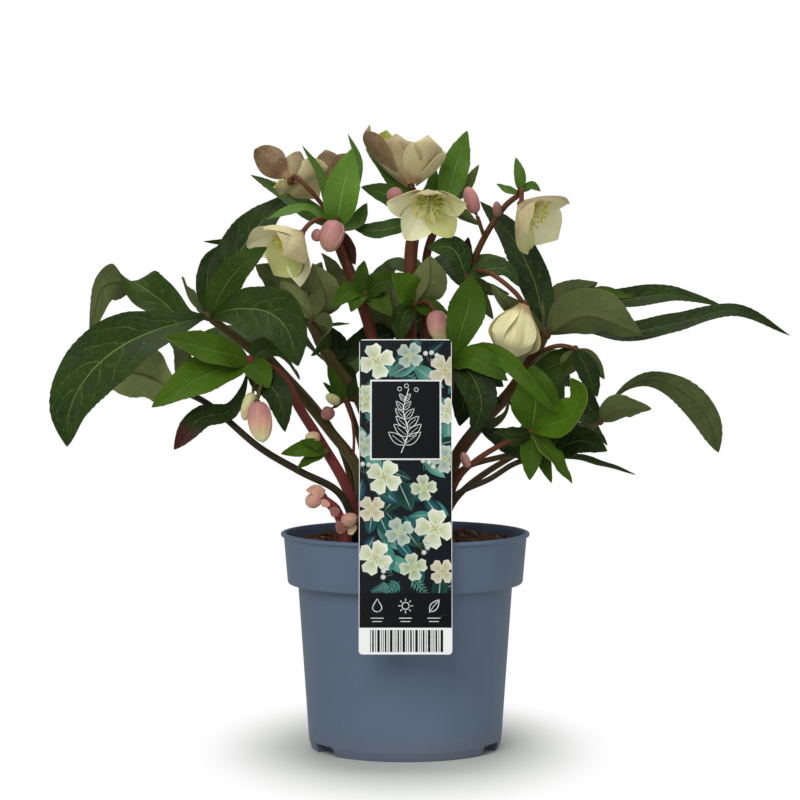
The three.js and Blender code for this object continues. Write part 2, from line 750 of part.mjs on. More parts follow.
function labelOutline() {
  const half = LABEL_W / 2;
  const height = Math.hypot(LABEL_HEAD.y - LABEL_FOOT.y, LABEL_HEAD.z - LABEL_FOOT.z);
  const r = LABEL_CORNER;
  const outline = new THREE.Shape();
  outline.moveTo(r - half, 0);
  outline.lineTo(half - r, 0);
  outline.quadraticCurveTo(half, 0, half, r);
  outline.lineTo(half, height - r);
  outline.quadraticCurveTo(half, height, half - r, height);
  outline.lineTo(r - half, height);
  outline.quadraticCurveTo(-half, height, -half, height - r);
  outline.lineTo(-half, r);
  outline.quadraticCurveTo(-half, 0, r - half, 0);
  return outline;
}

// The sheet leans on the rim, and its tongue folds back over the rim and down to the soil
function label() {
  const lean = Math.atan2(LABEL_HEAD.y - LABEL_FOOT.y, LABEL_HEAD.z - LABEL_FOOT.z);
  const flat = { depth: LABEL_T, bevelEnabled: false, curveSegments: 3 };
  const sheet = new THREE.ExtrudeGeometry(labelOutline(), flat);
  sheet.rotateX(Math.PI / 2 - lean);
  sheet.translate(0, LABEL_FOOT.y, LABEL_FOOT.z);
  const fold = new THREE.Shape();
  const route = [
    [-84.4, 155], [-81, 151.5], [-77.6, 150], [-76.6, SOIL_TOP_Z],
    [-75.6, SOIL_TOP_Z], [-76.8, 151], [-81, 152.4], [-83.2, 162],
  ];
  fold.setFromPoints(route.map(([y, z]) => new THREE.Vector2(y, z)));
  const tongue = new THREE.ExtrudeGeometry(fold, { depth: TONGUE_W, bevelEnabled: false });
  tongue.applyMatrix4(new THREE.Matrix4().makeBasis(
    new THREE.Vector3(0, 1, 0), new THREE.Vector3(0, 0, 1), new THREE.Vector3(1, 0, 0)));
  tongue.translate(-TONGUE_W / 2, 0, 0);
  return solidOf(sheet).add(solidOf(tongue));
}

function stepToward(from, to, distance) {
  const way = new THREE.Vector3(...to).sub(new THREE.Vector3(...from)).setLength(distance);
  return way.add(new THREE.Vector3(...from)).toArray();
}

// A compound leaf or a tuft of bracts: its stalk, a knot at the palm, and its leaflets
function leaf({ stalk: route = [], palm, startR = 2, endR = 2, blades }, grow = 0) {
  const pieces = [knot(palm, endR + 1 + grow)];
  if (route.length > 0) {
    pieces.push(stalk([...route, palm], startR, endR, grow));
  }
  for (const [points, width, face, twist] of blades) {
    pieces.push(blade([stepToward(palm, points[0], BLADE_SETBACK), ...points], { width, face, twist, grow }));
  }
  return joined(pieces);
}

// A leaf on the far side: arching leaflets fanned around the way that its middle one points
function rearLeaf({ root, via, palm, reach, turn }) {
  const [x, z, depth] = palm;
  const blades = REAR_FAN.map((offset, index) => {
    const heading = THREE.MathUtils.degToRad(turn + offset);
    const length = reach * (1 - Math.abs(offset) / 400);
    const onTheWay = (share, rise) => (
      [x + Math.cos(heading) * length * share, z + rise, depth + Math.sin(heading) * length * share]);
    return [[onTheWay(0.5, 7 + 2 * (index % 2)), onTheWay(1, -9)], reach * 0.38, UP];
  });
  return { stalk: [root, via], palm, startR: 2.6, endR: 2, blades };
}

// Five petals around a dome of stamens, opening along the given direction, on a thin stalk
function flower({ heart, opens, radius, stalk: route, petals }, grow = 0) {
  const centre = at(heart);
  const axis = new THREE.Vector3(...opens).normalize();
  const across = new THREE.Vector3(0, 0, 1).cross(axis).normalize();
  const dome = new THREE.IcosahedronGeometry(radius * 0.22 + grow, 0);
  dome.translate(...centre.clone().addScaledVector(axis, radius * 0.12).toArray());
  const pieces = [solidOf(dome), stalk([...route, heart], 1.5, 1.7, grow)];
  for (const [turn, closed, reach] of petals) {
    const out = across.clone().applyAxisAngle(axis, THREE.MathUtils.degToRad(turn));
    pieces.push(petal(centre, axis, out, { length: radius * reach, closed, grow }));
  }
  return joined(pieces);
}

// A broad petal that leaves the heart outward and rises along the axis as the flower closes
function petal(centre, axis, out, { length, closed, grow }) {
  const lift = [0, 0.12 + 0.22 * closed, 0.24 + 0.5 * closed, 0.16 + 0.84 * closed];
  const spread = [0.1, 0.44 - 0.1 * closed, 0.76 - 0.28 * closed, 1 - 0.72 * closed];
  const points = lift.map((height, index) => centre.clone()
    .addScaledVector(axis, height * length)
    .addScaledVector(out, spread[index] * length));
  const size = (t) => {
    const least = t < 0.5 ? 0.3 : 0.12;
    const half = length * (0.29 + 0.15 * closed) * Math.max(least, Math.sin(Math.PI * t ** 1.12) ** 0.62);
    return { half, thick: BLADE_T * 0.7, rise: PETAL_CUP * half };
  };
  return bent(new THREE.CatmullRomCurve3(points), { sides: 4, steps: PETAL_STEPS, face: axis, grow, size });
}

// An egg-shaped bud, with a stalk if it has one
function bud({ foot, tip, width, stalk: route }, grow = 0) {
  const size = (t) => {
    const half = (width / 2) * Math.max(0.22, Math.sin(Math.PI * t ** 0.75) ** 0.7);
    return { half, thick: half, rise: 0 };
  };
  const egg = bent(curveThrough([foot, tip]), { sides: 7, steps: 4, grow, size });
  return route ? egg.add(stalk([...route, foot], 1.3, 1.5, grow)) : egg;
}

const group = new THREE.Group();

function place(name, solid, finish) {
  const { color, roughness } = FINISHES[finish];
  const material = new THREE.MeshStandardMaterial({ color, roughness, metalness: 0 });
  const mesh = new THREE.Mesh(geometryOf(solid), material);
  mesh.name = name;
  group.add(mesh);
}

// Grows a piece on the pieces that carry it: it is cut back to leave the clearance to each of them
const builders = {};

function growOn(carriers, solid) {
  return [carriers].flat().reduce((piece, name) => joined([piece.subtract(builders[name](GAP))]), solid);
}

function placeAll(specs, build, finish) {
  for (const [name, spec] of Object.entries(specs)) {
    builders[name] = (grow) => build(spec, grow);
    place(name, growOn(spec.on ?? [], build(spec)), finish);
  }
}

const rearLeaves = Object.fromEntries(
  Object.entries(REAR_LEAVES).map(([name, spec]) => [name, rearLeaf(spec)]));
const planted = [
  ...Object.values(STEMS),
  ...[...Object.values(LEAVES), ...Object.values(rearLeaves)]
    .filter(({ stalk: route }) => route && route[0][1] < SOIL_TOP_Z)
    .map(({ stalk: route, palm, startR, endR }) => ({ points: [...route, palm], startR, endR })),
];

place('pot', pot(), 'pot');
place('soil', soil(planted), 'soil');
place('plant_label', label(), 'label');
placeAll(STEMS, stem, 'stem');
placeAll(LEAVES, leaf, 'leaf');
placeAll(rearLeaves, leaf, 'leaf');
placeAll(BRACTS, leaf, 'bract');
placeAll(FLOWERS, flower, 'petal');
placeAll(BUDS, bud, 'bud');

export default group;
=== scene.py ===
# %% [markdown]
# # A hellebore in its nursery pot
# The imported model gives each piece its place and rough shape: a pot, soil, a hanging label, canes,
# hand-shaped leaves, bracts, cup flowers and buds. This lesson makes each of them again with the
# detail of the real one, in the same place, and gives it a finish made only of shader nodes.
# Lengths are written in millimetres, as a gardener would give them, and turned into metres once,
# where a mesh is built.

# %% Load the frame
import math

import bmesh
import bpy
import numpy as np
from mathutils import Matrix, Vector


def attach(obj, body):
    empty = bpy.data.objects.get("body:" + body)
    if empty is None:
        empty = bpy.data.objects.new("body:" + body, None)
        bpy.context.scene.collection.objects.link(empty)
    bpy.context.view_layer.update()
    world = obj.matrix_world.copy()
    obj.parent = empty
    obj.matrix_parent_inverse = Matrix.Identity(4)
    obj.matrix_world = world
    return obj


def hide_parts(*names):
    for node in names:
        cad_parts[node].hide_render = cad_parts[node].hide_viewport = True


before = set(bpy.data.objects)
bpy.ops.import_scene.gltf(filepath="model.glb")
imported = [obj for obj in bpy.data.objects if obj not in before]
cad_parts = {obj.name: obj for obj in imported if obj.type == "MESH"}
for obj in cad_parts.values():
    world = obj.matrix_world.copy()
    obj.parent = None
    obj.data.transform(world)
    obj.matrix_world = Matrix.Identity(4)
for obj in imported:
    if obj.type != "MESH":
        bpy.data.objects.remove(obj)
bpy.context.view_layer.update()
chance = np.random.default_rng(41)
print("nodes to dress:", len(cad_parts))

# %% [markdown]
# ## Camera
# The pot's rim, collar and foot are seen as ellipses, and how round each looks gives the height of
# the eye. It is two metres in front of the pot, a little above the rim, and looks down by three
# degrees. A long lens keeps the plant free of stretched corners.

# %% Camera
MM = 0.001
EYE = np.array([-4.0, -2000.0, 342.0])
CAMERA_PITCH = 2.98
CAMERA_LENS = 132.07

camera_data = bpy.data.cameras.new("portrait_camera")
camera_data.lens = CAMERA_LENS
camera_data.sensor_width = 36
camera = bpy.data.objects.new("portrait_camera", camera_data)
camera.location = (-3.6 * MM, -2.0, 0.342)
camera.rotation_euler = (math.radians(90 - CAMERA_PITCH), 0, 0)
bpy.context.collection.objects.link(camera)
scene = bpy.context.scene
scene.camera = camera
scene.view_settings.view_transform = "Standard"
print("camera at", tuple(round(value, 3) for value in camera.location))

# %% [markdown]
# ## Colours and node helpers
# A colour picked on a screen is not linear, and shaders work in linear light, so every colour goes
# through one small function. The other helpers make a node, a piece of arithmetic, a mix, a remapped
# value or a band of colours in one line each, which keeps the finishes below short enough to read.

# %% Colours and nodes
def hue(code):
    """A screen colour such as "#60708a" as the linear RGBA that a shader expects."""
    channels = [int(code[at:at + 2], 16) / 255 for at in (1, 3, 5)]
    linear = [c / 12.92 if c <= 0.04045 else ((c + 0.055) / 1.055) ** 2.4 for c in channels]
    return (*linear, 1.0)


def node(tree, kind, inputs=None, **settings):
    """One shader node. Each input is named or numbered, and given as a value, a screen colour or
    another node's socket."""
    made = tree.nodes.new("ShaderNode" + kind)
    for setting, value in settings.items():
        setattr(made, setting, value)
    for socket, value in (inputs or {}).items():
        if isinstance(value, bpy.types.NodeSocket):
            tree.links.new(value, made.inputs[socket])
        else:
            made.inputs[socket].default_value = hue(value) if isinstance(value, str) else value
    return made


print("mid grey in linear light:", round(hue("#808080")[0], 3))

# %% Arithmetic, mixes and bands
def worked(tree, operation, *values):
    """The result of one arithmetic node."""
    return node(tree, "Math", dict(enumerate(values)), operation=operation).outputs[0]


def times(tree, value, factor, plus=0.0, clamp=False):
    """A value times a factor, plus a second value, and kept between 0 and 1 on request."""
    inputs = {0: value, 1: factor, 2: plus}
    return node(tree, "Math", inputs, operation="MULTIPLY_ADD", use_clamp=clamp).outputs[0]


def mixed(tree, share, first, second, blend="MIX"):
    """Two colours mixed by a share from 0 to 1."""
    inputs = {0: share, 6: first, 7: second}
    return node(tree, "Mix", inputs, data_type="RGBA", blend_type=blend).outputs[2]


def ramped(tree, value, low, high, start=0.0, end=1.0):
    """A value that goes smoothly from start to end while the given one goes from low to high."""
    inputs = {0: value, 1: low, 2: high, 3: start, 4: end}
    return node(tree, "MapRange", inputs, interpolation_type="SMOOTHSTEP").outputs[0]


def banded(tree, value, stops):
    """A colour that goes through screen colours as the value goes through their places."""
    ramp = node(tree, "ValToRGB", {0: value})
    first, *between, last = stops
    elements = ramp.color_ramp.elements
    elements[0].color, elements[1].color = hue(stops[first]), hue(stops[last])
    for share in between:
        elements.new(share).color = hue(stops[share])
    return ramp.outputs["Color"]


def stored(tree, name, output="Fac"):
    """What the mesh stores at each point under this name."""
    return node(tree, "Attribute", attribute_name=name).outputs[output]

# %% Finish maker
def finish(name, reflects, flesh=0.0):
    """A new material: itself, its node tree, its shader and the place of each point on the object.
    Flesh lets light into thin petals."""
    made = bpy.data.materials.new(name)
    made.use_nodes = True
    shader = made.node_tree.nodes["Principled BSDF"]
    shader.inputs["Specular IOR Level"].default_value = reflects
    shader.inputs["Subsurface Weight"].default_value = flesh
    shader.inputs["Subsurface Scale"].default_value = 2 * MM
    return made, made.node_tree, shader, node(made.node_tree, "TexCoord").outputs["Object"]


def connect(tree, shader, colour, roughness, height, depth):
    """Feeds colour, roughness and a bump of the given depth in metres to the shader."""
    bump = node(tree, "Bump", {"Strength": 1.0, "Distance": depth, "Height": height})
    tree.links.new(colour, shader.inputs["Base Color"])
    tree.links.new(roughness, shader.inputs["Roughness"])
    tree.links.new(bump.outputs[0], shader.inputs["Normal"])

# %% [markdown]
# ## Light and floor
# The plant stands on a pale table in a white room, lit by one broad soft light from the front and
# above, a weaker one from the right, and one from overhead that brings out the upper leaf faces.
# A room of pure white would wash out the dark leaves, because they are glossy. So the camera sees a
# white room, and everything else sees a dimmer one. The floor is lit grey beside the pot and glows
# white to the camera further out, over an oval that reaches further to the front and back. The grey
# oval is painted shade in the shape of the pot's shadow, and the white beyond it is a painted glow.

# %% Light
ROOM_LIGHT = 0.3
LOOK_AT = Vector((0.0, 0.0, 0.24))


def soft_light(name, place, size, power):
    """A soft rectangular light that faces the middle of the plant."""
    data = bpy.data.lights.new(name, "AREA")
    data.shape = "RECTANGLE"
    data.size, data.size_y = size
    data.energy = power
    made = bpy.data.objects.new(name, data)
    made.location = place
    made.rotation_euler = (Vector(place) - LOOK_AT).to_track_quat("Z", "Y").to_euler()
    bpy.context.collection.objects.link(made)


soft_light("front_softbox", (-0.75, -1.9, 1.5), (1.4, 1.4), 33.0)
soft_light("right_softbox", (1.7, -1.3, 0.9), (1.0, 1.4), 6.0)
soft_light("overhead_softbox", (0.1, 0.25, 1.9), (1.6, 1.2), 20.0)

world = bpy.data.worlds.new("white_room")
world.use_nodes = True
scene.world = world
room = world.node_tree
seen = node(room, "LightPath").outputs["Is Camera Ray"]
strength = node(room, "MapRange", {0: seen, 3: ROOM_LIGHT, 4: 1.0}).outputs[0]
room.links.new(strength, room.nodes["Background"].inputs["Strength"])
room.nodes["Background"].inputs["Color"].default_value = (1.0, 1.0, 1.0, 1.0)

# %% Floor
FLOOR_FADE_START = 0.055
FLOOR_FADE_END = 0.15
FLOOR_FADE_DEPTH = 0.6
FLOOR_R = 6.0

bpy.ops.mesh.primitive_circle_add(vertices=96, radius=FLOOR_R, fill_type="NGON")
floor = bpy.context.active_object
floor.name = "studio_floor"
pale_floor, tree, shader, place = finish("pale_floor", reflects=0.3)
cloud = node(tree, "TexNoise", {"Vector": place, "Scale": 9.0}).outputs["Fac"]
tone = mixed(tree, cloud, "#d3d7cf", "#d9dcd5")
tree.links.new(tone, shader.inputs["Base Color"])
# Painted shade and glow: inside an oval around the pot, longer front to back, the floor stays lit grey
# like a shadow; beyond it the camera sees a painted white glow.
oval = node(tree, "Mapping", {"Vector": place, "Scale": (1.0, FLOOR_FADE_DEPTH, 1.0)})
from_pot = node(tree, "VectorMath", {0: oval.outputs[0]}, operation="LENGTH").outputs["Value"]
fade = ramped(tree, from_pot, FLOOR_FADE_START, FLOOR_FADE_END)
to_camera = times(tree, fade, node(tree, "LightPath").outputs["Is Camera Ray"])
white = node(tree, "Emission", {"Color": (1.0, 1.0, 1.0, 1.0), "Strength": 1.0}).outputs[0]
blended = node(tree, "MixShader", {0: to_camera, 1: shader.outputs[0], 2: white}).outputs[0]
tree.links.new(blended, tree.nodes["Material Output"].inputs["Surface"])
floor.data.materials.append(pale_floor)
print("floor fades to white", FLOOR_FADE_END, "m from the pot's axis")

# %% [markdown]
# ## Effects that several finishes share
# Real surfaces vary at two scales at least: broad patches, and a fine grain inside them. Each shared
# effect is a node group with named inputs, built once and placed in every finish that needs it with
# its own values. *Mottle* gives broad patches with a finer pattern in them. *Grain* gives the small
# pits and bumps of plastic, bark or skin. *Specks* gives scattered round dots. *Scuffs* gives the
# thin rubbed marks of handled plastic. *Lines* gives the uneven fine lines that run along a petal.
# *Veins* draws a leaf: a midrib, pairs of slanting side veins and the fine net between them, from
# how far across and along the leaf a point is.

# %% Group maker
SOCKETS = {float: "NodeSocketFloat", tuple: "NodeSocketVector"}


def group(name, inputs, outputs):
    """An empty node group with named number or vector inputs, and number outputs."""
    tree = bpy.data.node_groups.new(name, "ShaderNodeTree")
    for label, default in inputs.items():
        kind = SOCKETS[type(default)]
        made = tree.interface.new_socket(label, in_out="INPUT", socket_type=kind)
        made.default_value = default
    for label in outputs:
        tree.interface.new_socket(label, in_out="OUTPUT", socket_type="NodeSocketFloat")
    return tree, tree.nodes.new("NodeGroupInput").outputs, tree.nodes.new("NodeGroupOutput").inputs


def placed(tree, grouped, **inputs):
    """The outputs of a group placed in a tree. An input is written with _ for each space."""
    named = {label.replace("_", " ").capitalize(): value for label, value in inputs.items()}
    return node(tree, "Group", named, node_tree=grouped).outputs

# %% Mottle and grain
MOTTLE, given, out = group(
    "Mottle", {"Place": (0.0, 0.0, 0.0), "Scale": 20.0, "Contrast": 1.0}, ["Value"])
broad = node(MOTTLE, "TexNoise", {"Vector": given["Place"], "Scale": given["Scale"], "Detail": 3.0})
finer_scale = times(MOTTLE, given["Scale"], 6.3)
finer = node(MOTTLE, "TexNoise", {"Vector": given["Place"], "Scale": finer_scale, "Detail": 4.0})
both = times(MOTTLE, finer.outputs["Fac"], 0.4, times(MOTTLE, broad.outputs["Fac"], 0.6))
centred = worked(MOTTLE, "SUBTRACT", both, 0.5)
MOTTLE.links.new(times(MOTTLE, centred, given["Contrast"], 0.5, clamp=True), out["Value"])

GRAIN, given, out = group("Grain", {"Place": (0.0, 0.0, 0.0), "Scale": 400.0}, ["Height"])
pits = node(GRAIN, "TexVoronoi", {"Vector": given["Place"], "Scale": given["Scale"]})
fuzz = node(GRAIN, "TexNoise", {"Vector": given["Place"], "Scale": given["Scale"], "Detail": 3.0})
GRAIN.links.new(times(GRAIN, pits.outputs["Distance"], 0.5, fuzz.outputs["Fac"]), out["Height"])
print("groups so far:", len(bpy.data.node_groups))

# %% Specks and scuffs
SPECKS, given, out = group(
    "Specks", {"Place": (0.0, 0.0, 0.0), "Scale": 300.0, "Size": 0.3, "Share": 0.5}, ["Mask"])
cell = node(SPECKS, "TexVoronoi", {"Vector": given["Place"], "Scale": given["Scale"]})
inner = times(SPECKS, given["Size"], 0.5)
dot = ramped(SPECKS, cell.outputs["Distance"], inner, given["Size"], 1.0, 0.0)
pick = node(SPECKS, "SeparateColor", {0: cell.outputs["Color"]}).outputs[0]
kept = worked(SPECKS, "LESS_THAN", pick, given["Share"])
SPECKS.links.new(times(SPECKS, dot, kept), out["Mask"])

SCUFFS, given, out = group(
    "Scuffs", {"Place": (0.0, 0.0, 0.0), "Scale": 20.0, "Amount": 0.4}, ["Mask"])
warp = node(SCUFFS, "TexNoise", {"Vector": given["Place"], "Scale": 14.0}).outputs["Color"]
bent_place = node(SCUFFS, "VectorMath", {0: warp, 1: (0.03, 0.03, 0.03), 2: given["Place"]},
                  operation="MULTIPLY_ADD").outputs[0]
drawn_out = node(SCUFFS, "Mapping", {"Vector": bent_place, "Scale": (1.0, 1.0, 7.0)}).outputs[0]
streak = node(SCUFFS, "TexNoise", {"Vector": drawn_out, "Scale": given["Scale"], "Detail": 6.0})
patch = node(SCUFFS, "TexNoise", {"Vector": given["Place"], "Scale": 11.0}).outputs["Fac"]
line = ramped(SCUFFS, streak.outputs["Fac"], 0.62, 0.72)
rubbed = times(SCUFFS, line, ramped(SCUFFS, patch, 0.5, 0.7))
SCUFFS.links.new(times(SCUFFS, rubbed, given["Amount"]), out["Mask"])
print("groups so far:", len(bpy.data.node_groups))

# %% Lines
LINES, given, out = group(
    "Lines", {"Spread": (0.0, 0.0, 0.0), "Stretch": (13.0, 1.4, 1.0), "Scale": 1.6, "Start": 0.52},
    ["Mask"])
drawn_out = node(LINES, "Mapping", {"Vector": given["Spread"], "Scale": given["Stretch"]}).outputs[0]
strand = node(LINES, "TexNoise", {"Vector": drawn_out, "Scale": given["Scale"], "Detail": 3.0})
LINES.links.new(ramped(LINES, strand.outputs["Fac"], given["Start"], 0.66), out["Mask"])
print("groups so far:", len(bpy.data.node_groups))

# %% Veins
PAIRS = 7.0
SLANT = 1.9

VEINS, given, out = group(
    "Veins",
    {"Spread": (0.0, 0.0, 0.0), "Midrib width": 0.06, "Vein width": 0.12},
    ["Midrib", "Side veins", "Net", "Height"])
split = node(VEINS, "SeparateXYZ", {0: given["Spread"]}).outputs
across = worked(VEINS, "ABSOLUTE", split[0])
wander = node(VEINS, "TexNoise", {"Vector": given["Spread"], "Scale": 4.5}).outputs["Fac"]
along = times(VEINS, worked(VEINS, "SUBTRACT", wander, 0.5), 0.09, split[1])
slope = times(VEINS, worked(VEINS, "POWER", across, 1.25), SLANT)
phase = worked(VEINS, "SUBTRACT", times(VEINS, along, PAIRS), slope)
off_vein = worked(VEINS, "PINGPONG", phase, 0.5)
side_vein = ramped(VEINS, off_vein, 0.0, given["Vein width"], 1.0, 0.0)
faded = times(VEINS, side_vein, ramped(VEINS, across, 0.5, 0.95, 1.0, 0.1))
faded = times(VEINS, faded, ramped(VEINS, wander, 0.3, 0.6, 0.35, 1.0))
slim = times(VEINS, given["Midrib width"], ramped(VEINS, split[1], 0.0, 1.0, 1.3, 0.6))
midrib = ramped(VEINS, across, times(VEINS, slim, 0.4), slim, 1.0, 0.0)
stretched = node(VEINS, "Mapping", {"Vector": given["Spread"], "Scale": (5.0, 16.0, 1.0)}).outputs[0]
mesh_lines = node(VEINS, "TexVoronoi", {"Vector": stretched, "Scale": 2.4},
                  feature="DISTANCE_TO_EDGE").outputs["Distance"]
net = ramped(VEINS, mesh_lines, 0.0, 0.07, 1.0, 0.0)
sunk = times(VEINS, net, -0.18, times(VEINS, faded, -0.55))
VEINS.links.new(midrib, out["Midrib"])
VEINS.links.new(faded, out["Side veins"])
VEINS.links.new(net, out["Net"])
VEINS.links.new(times(VEINS, midrib, -0.9, sunk), out["Height"])
print("groups:", [made.name for made in bpy.data.node_groups])

# %% [markdown]
# ## Pot, soil and label finishes
# The pot is injection-moulded plastic in a chalky slate blue: slightly uneven in tone, with a fine
# satin grain, a few rubbed marks, and soil dust around the foot. Its lowest part is painted a little
# lighter, as painted light standing in for light bounced up from the floor. Soil is dark and fibrous,
# and each crumb has its own tone. The label is a stiff glossy plastic card. Its inks are stored in
# the mesh, and only their fine print texture comes from nodes.

# %% Pot plastic
pot_plastic, tree, shader, place = finish("pot_plastic", reflects=0.35)
patchy = placed(tree, MOTTLE, place=place, scale=14.0, contrast=1.3)["Value"]
body = mixed(tree, patchy, "#54637a", "#5e6e87")
height_up = node(tree, "SeparateXYZ", {0: place}).outputs["Z"]
# Painted light: the lowest 6 cm of the body are mixed towards a lighter blue, standing in for light
# bounced up from the floor.
painted_bounce_light = ramped(tree, height_up, 0.0, 0.06, 0.5, 0.0)
body = mixed(tree, painted_bounce_light, body, "#65758f")
dots = placed(tree, SPECKS, place=place, scale=160.0, size=0.16, share=0.09)["Mask"]
body = mixed(tree, times(tree, dots, 0.35), body, "#39424f")
rubs = placed(tree, SCUFFS, place=place, scale=34.0, amount=0.14)["Mask"]
body = mixed(tree, rubs, body, "#8d9bb0")
dust = times(tree, ramped(tree, height_up, 0.004, 0.022, 0.5, 0.0), patchy)
body = mixed(tree, dust, body, "#6d675c")
satin = times(tree, patchy, 0.14, times(tree, rubs, 0.2, 0.42))
pimples = placed(tree, GRAIN, place=place, scale=900.0)["Height"]
connect(tree, shader, body, satin, pimples, 0.00005)
print(pot_plastic.name, "has", len(tree.nodes), "nodes")

# %% Soil and crumbs
soil_earth, tree, shader, place = finish("soil_earth", reflects=0.2)
damp = placed(tree, MOTTLE, place=place, scale=60.0, contrast=2.4)["Value"]
earth = mixed(tree, damp, "#1d130e", "#46301f")
earth = mixed(tree, stored(tree, "tone"), earth, "#6b4029")
flecks = placed(tree, SPECKS, place=place, scale=420.0, size=0.4, share=0.2)["Mask"]
earth = mixed(tree, times(tree, flecks, 0.5), earth, "#8a6b4d")
crumbly = placed(tree, GRAIN, place=place, scale=700.0)["Height"]
connect(tree, shader, earth, times(tree, damp, 0.15, 0.78), crumbly, 0.0006)

soil_fibre, tree, shader, place = finish("soil_fibre", reflects=0.25)
shade = placed(tree, MOTTLE, place=place, scale=150.0, contrast=2.0)["Value"]
straw = mixed(tree, stored(tree, "tone"), "#6a4a33", "#d9cdb4")
straw = mixed(tree, times(tree, shade, 0.4), straw, "#4a3424")
strands = placed(tree, GRAIN, place=place, scale=1500.0)["Height"]
connect(tree, shader, straw, times(tree, shade, 0.2, 0.6), strands, 0.0002)
print("soil finishes:", soil_earth.name, soil_fibre.name)

# %% Label card and print
label_print, tree, shader, place = finish("label_print", reflects=0.1)
ink = stored(tree, "tint", "Color")
wash = placed(tree, MOTTLE, place=place, scale=120.0, contrast=1.6)["Value"]
ink = mixed(tree, times(tree, wash, 0.35), ink, "#1b2a33", "MULTIPLY")
rubs = placed(tree, SCUFFS, place=place, scale=60.0, amount=0.12)["Mask"]
ink = mixed(tree, rubs, ink, "#c6ccd2")
gloss = times(tree, wash, 0.1, times(tree, rubs, 0.4, 0.34))
press = placed(tree, GRAIN, place=place, scale=2500.0)["Height"]
connect(tree, shader, ink, gloss, press, 0.00001)

label_card, tree, shader, place = finish("label_card", reflects=0.4)
haze = placed(tree, MOTTLE, place=place, scale=90.0, contrast=1.2)["Value"]
card = mixed(tree, haze, "#e4e6e6", "#f4f4f2")
card = mixed(tree, placed(tree, SCUFFS, place=place, scale=50.0, amount=0.15)["Mask"], card, "#b9bab6")
fine_grain = placed(tree, GRAIN, place=place, scale=1800.0)["Height"]
connect(tree, shader, card, times(tree, haze, 0.12, 0.4), fine_grain, 0.00001)
print("finishes so far:", len(bpy.data.materials))

# %% [markdown]
# ## Plant finishes
# A hellebore leaf is leathery. Its upper face is dark and glossy with pale sunken veins, and its
# underside is matte and grey-green with a raised midrib, so each leaf carries two finishes. The mesh
# stores two things for them: *spread*, which is how far across and along the leaf a point is, and
# *tone*, from an old dark leaf at 0 to a young bright one at 1. Canes run from nearly black through
# olive to red-brown, with pale pores. Petals have fine lines that run along them, greenish at the
# heart, and a back that blushes brown-pink. Buds go from pink to cream by the same stored tone.

# %% Leaf faces
def leaf_finish(name, dark, bright, vein, shares, rough, widths, sheen, depth):
    """One face of a leaf. Shares are how strongly midrib, side veins and net show their colour."""
    made, tree, shader, place = finish(name, reflects=sheen)
    spread = stored(tree, "spread", "Vector")
    patchy = placed(tree, MOTTLE, place=place, scale=45.0, contrast=1.8)["Value"]
    youth = worked(tree, "SUBTRACT", stored(tree, "tone"), 0.18)
    blade_colour = mixed(tree, times(tree, patchy, 0.36, youth, clamp=True), dark, bright)
    veins = placed(tree, VEINS, spread=spread, midrib_width=widths[0], vein_width=widths[1])
    line = times(tree, veins["Midrib"], shares[0])
    line = worked(tree, "MAXIMUM", line, times(tree, veins["Side veins"], shares[1]))
    line = worked(tree, "MAXIMUM", line, times(tree, veins["Net"], shares[2]))
    blade_colour = mixed(tree, line, blade_colour, vein)
    parts = node(tree, "SeparateXYZ", {0: spread}).outputs
    from_tip = worked(tree, "SUBTRACT", 1.0, parts[1])
    reached = worked(tree, "SUBTRACT", times(tree, parts[2], 1.1), from_tip)
    blade_colour = mixed(tree, ramped(tree, reached, 0.0, 0.15), blade_colour, "#43211d")
    flecks = placed(tree, SPECKS, place=place, scale=330.0, size=0.22, share=0.1)["Mask"]
    blade_colour = mixed(tree, times(tree, flecks, 0.22), blade_colour, "#7d8a5a")
    dullness = times(tree, patchy, 0.18, rough)
    skin = placed(tree, GRAIN, place=place, scale=1300.0)["Height"]
    height = times(tree, skin, 0.06, veins["Height"])
    connect(tree, shader, blade_colour, dullness, height, depth)
    return made


leaf_upper = leaf_finish(
    "leaf_upper", "#14210e", "#466608", "#809d54", (0.45, 0.3, 0.1), 0.34, (0.045, 0.06), 0.1, 0.0005)
leaf_under = leaf_finish(
    "leaf_under", "#3b4325", "#828b57", "#5b5233", (0.5, 0.18, 0.12), 0.6, (0.07, 0.07), 0.08, -0.0005)
bract_upper = leaf_finish(
    "bract_upper", "#1b2f13", "#5c8528", "#97b262", (0.5, 0.34, 0.12), 0.4, (0.06, 0.07), 0.15, 0.0003)
bract_under = leaf_finish(
    "bract_under", "#3c4a26", "#7b8f4c", "#8b8753", (0.4, 0.16, 0.1), 0.55, (0.08, 0.08), 0.1, -0.0004)
print("leaf finishes:", leaf_upper.name, leaf_under.name, bract_upper.name, bract_under.name)

# %% Cane bark
cane_bark, tree, shader, place = finish("cane_bark", reflects=0.14)
bark = banded(tree, stored(tree, "tone"), {
    0.0: "#241f17", 0.35: "#4d4422", 0.65: "#623b22", 0.85: "#6b3523", 1.0: "#7d2f38"})
patchy = placed(tree, MOTTLE, place=place, scale=55.0, contrast=2.2)["Value"]
bark = mixed(tree, times(tree, patchy, 0.45), bark, "#332a1b")
pores = placed(tree, SPECKS, place=place, scale=680.0, size=0.3, share=0.3)["Mask"]
bark = mixed(tree, times(tree, pores, 0.34), bark, "#a98463")
lengthwise = node(tree, "Mapping", {"Vector": place, "Scale": (1.0, 1.0, 0.12)}).outputs[0]
ribs = placed(tree, GRAIN, place=lengthwise, scale=900.0)["Height"]
dullness = times(tree, patchy, 0.2, 0.3)
connect(tree, shader, bark, dullness, times(tree, pores, 0.4, ribs), 0.00025)
print(cane_bark.name, "has", len(tree.nodes), "nodes")

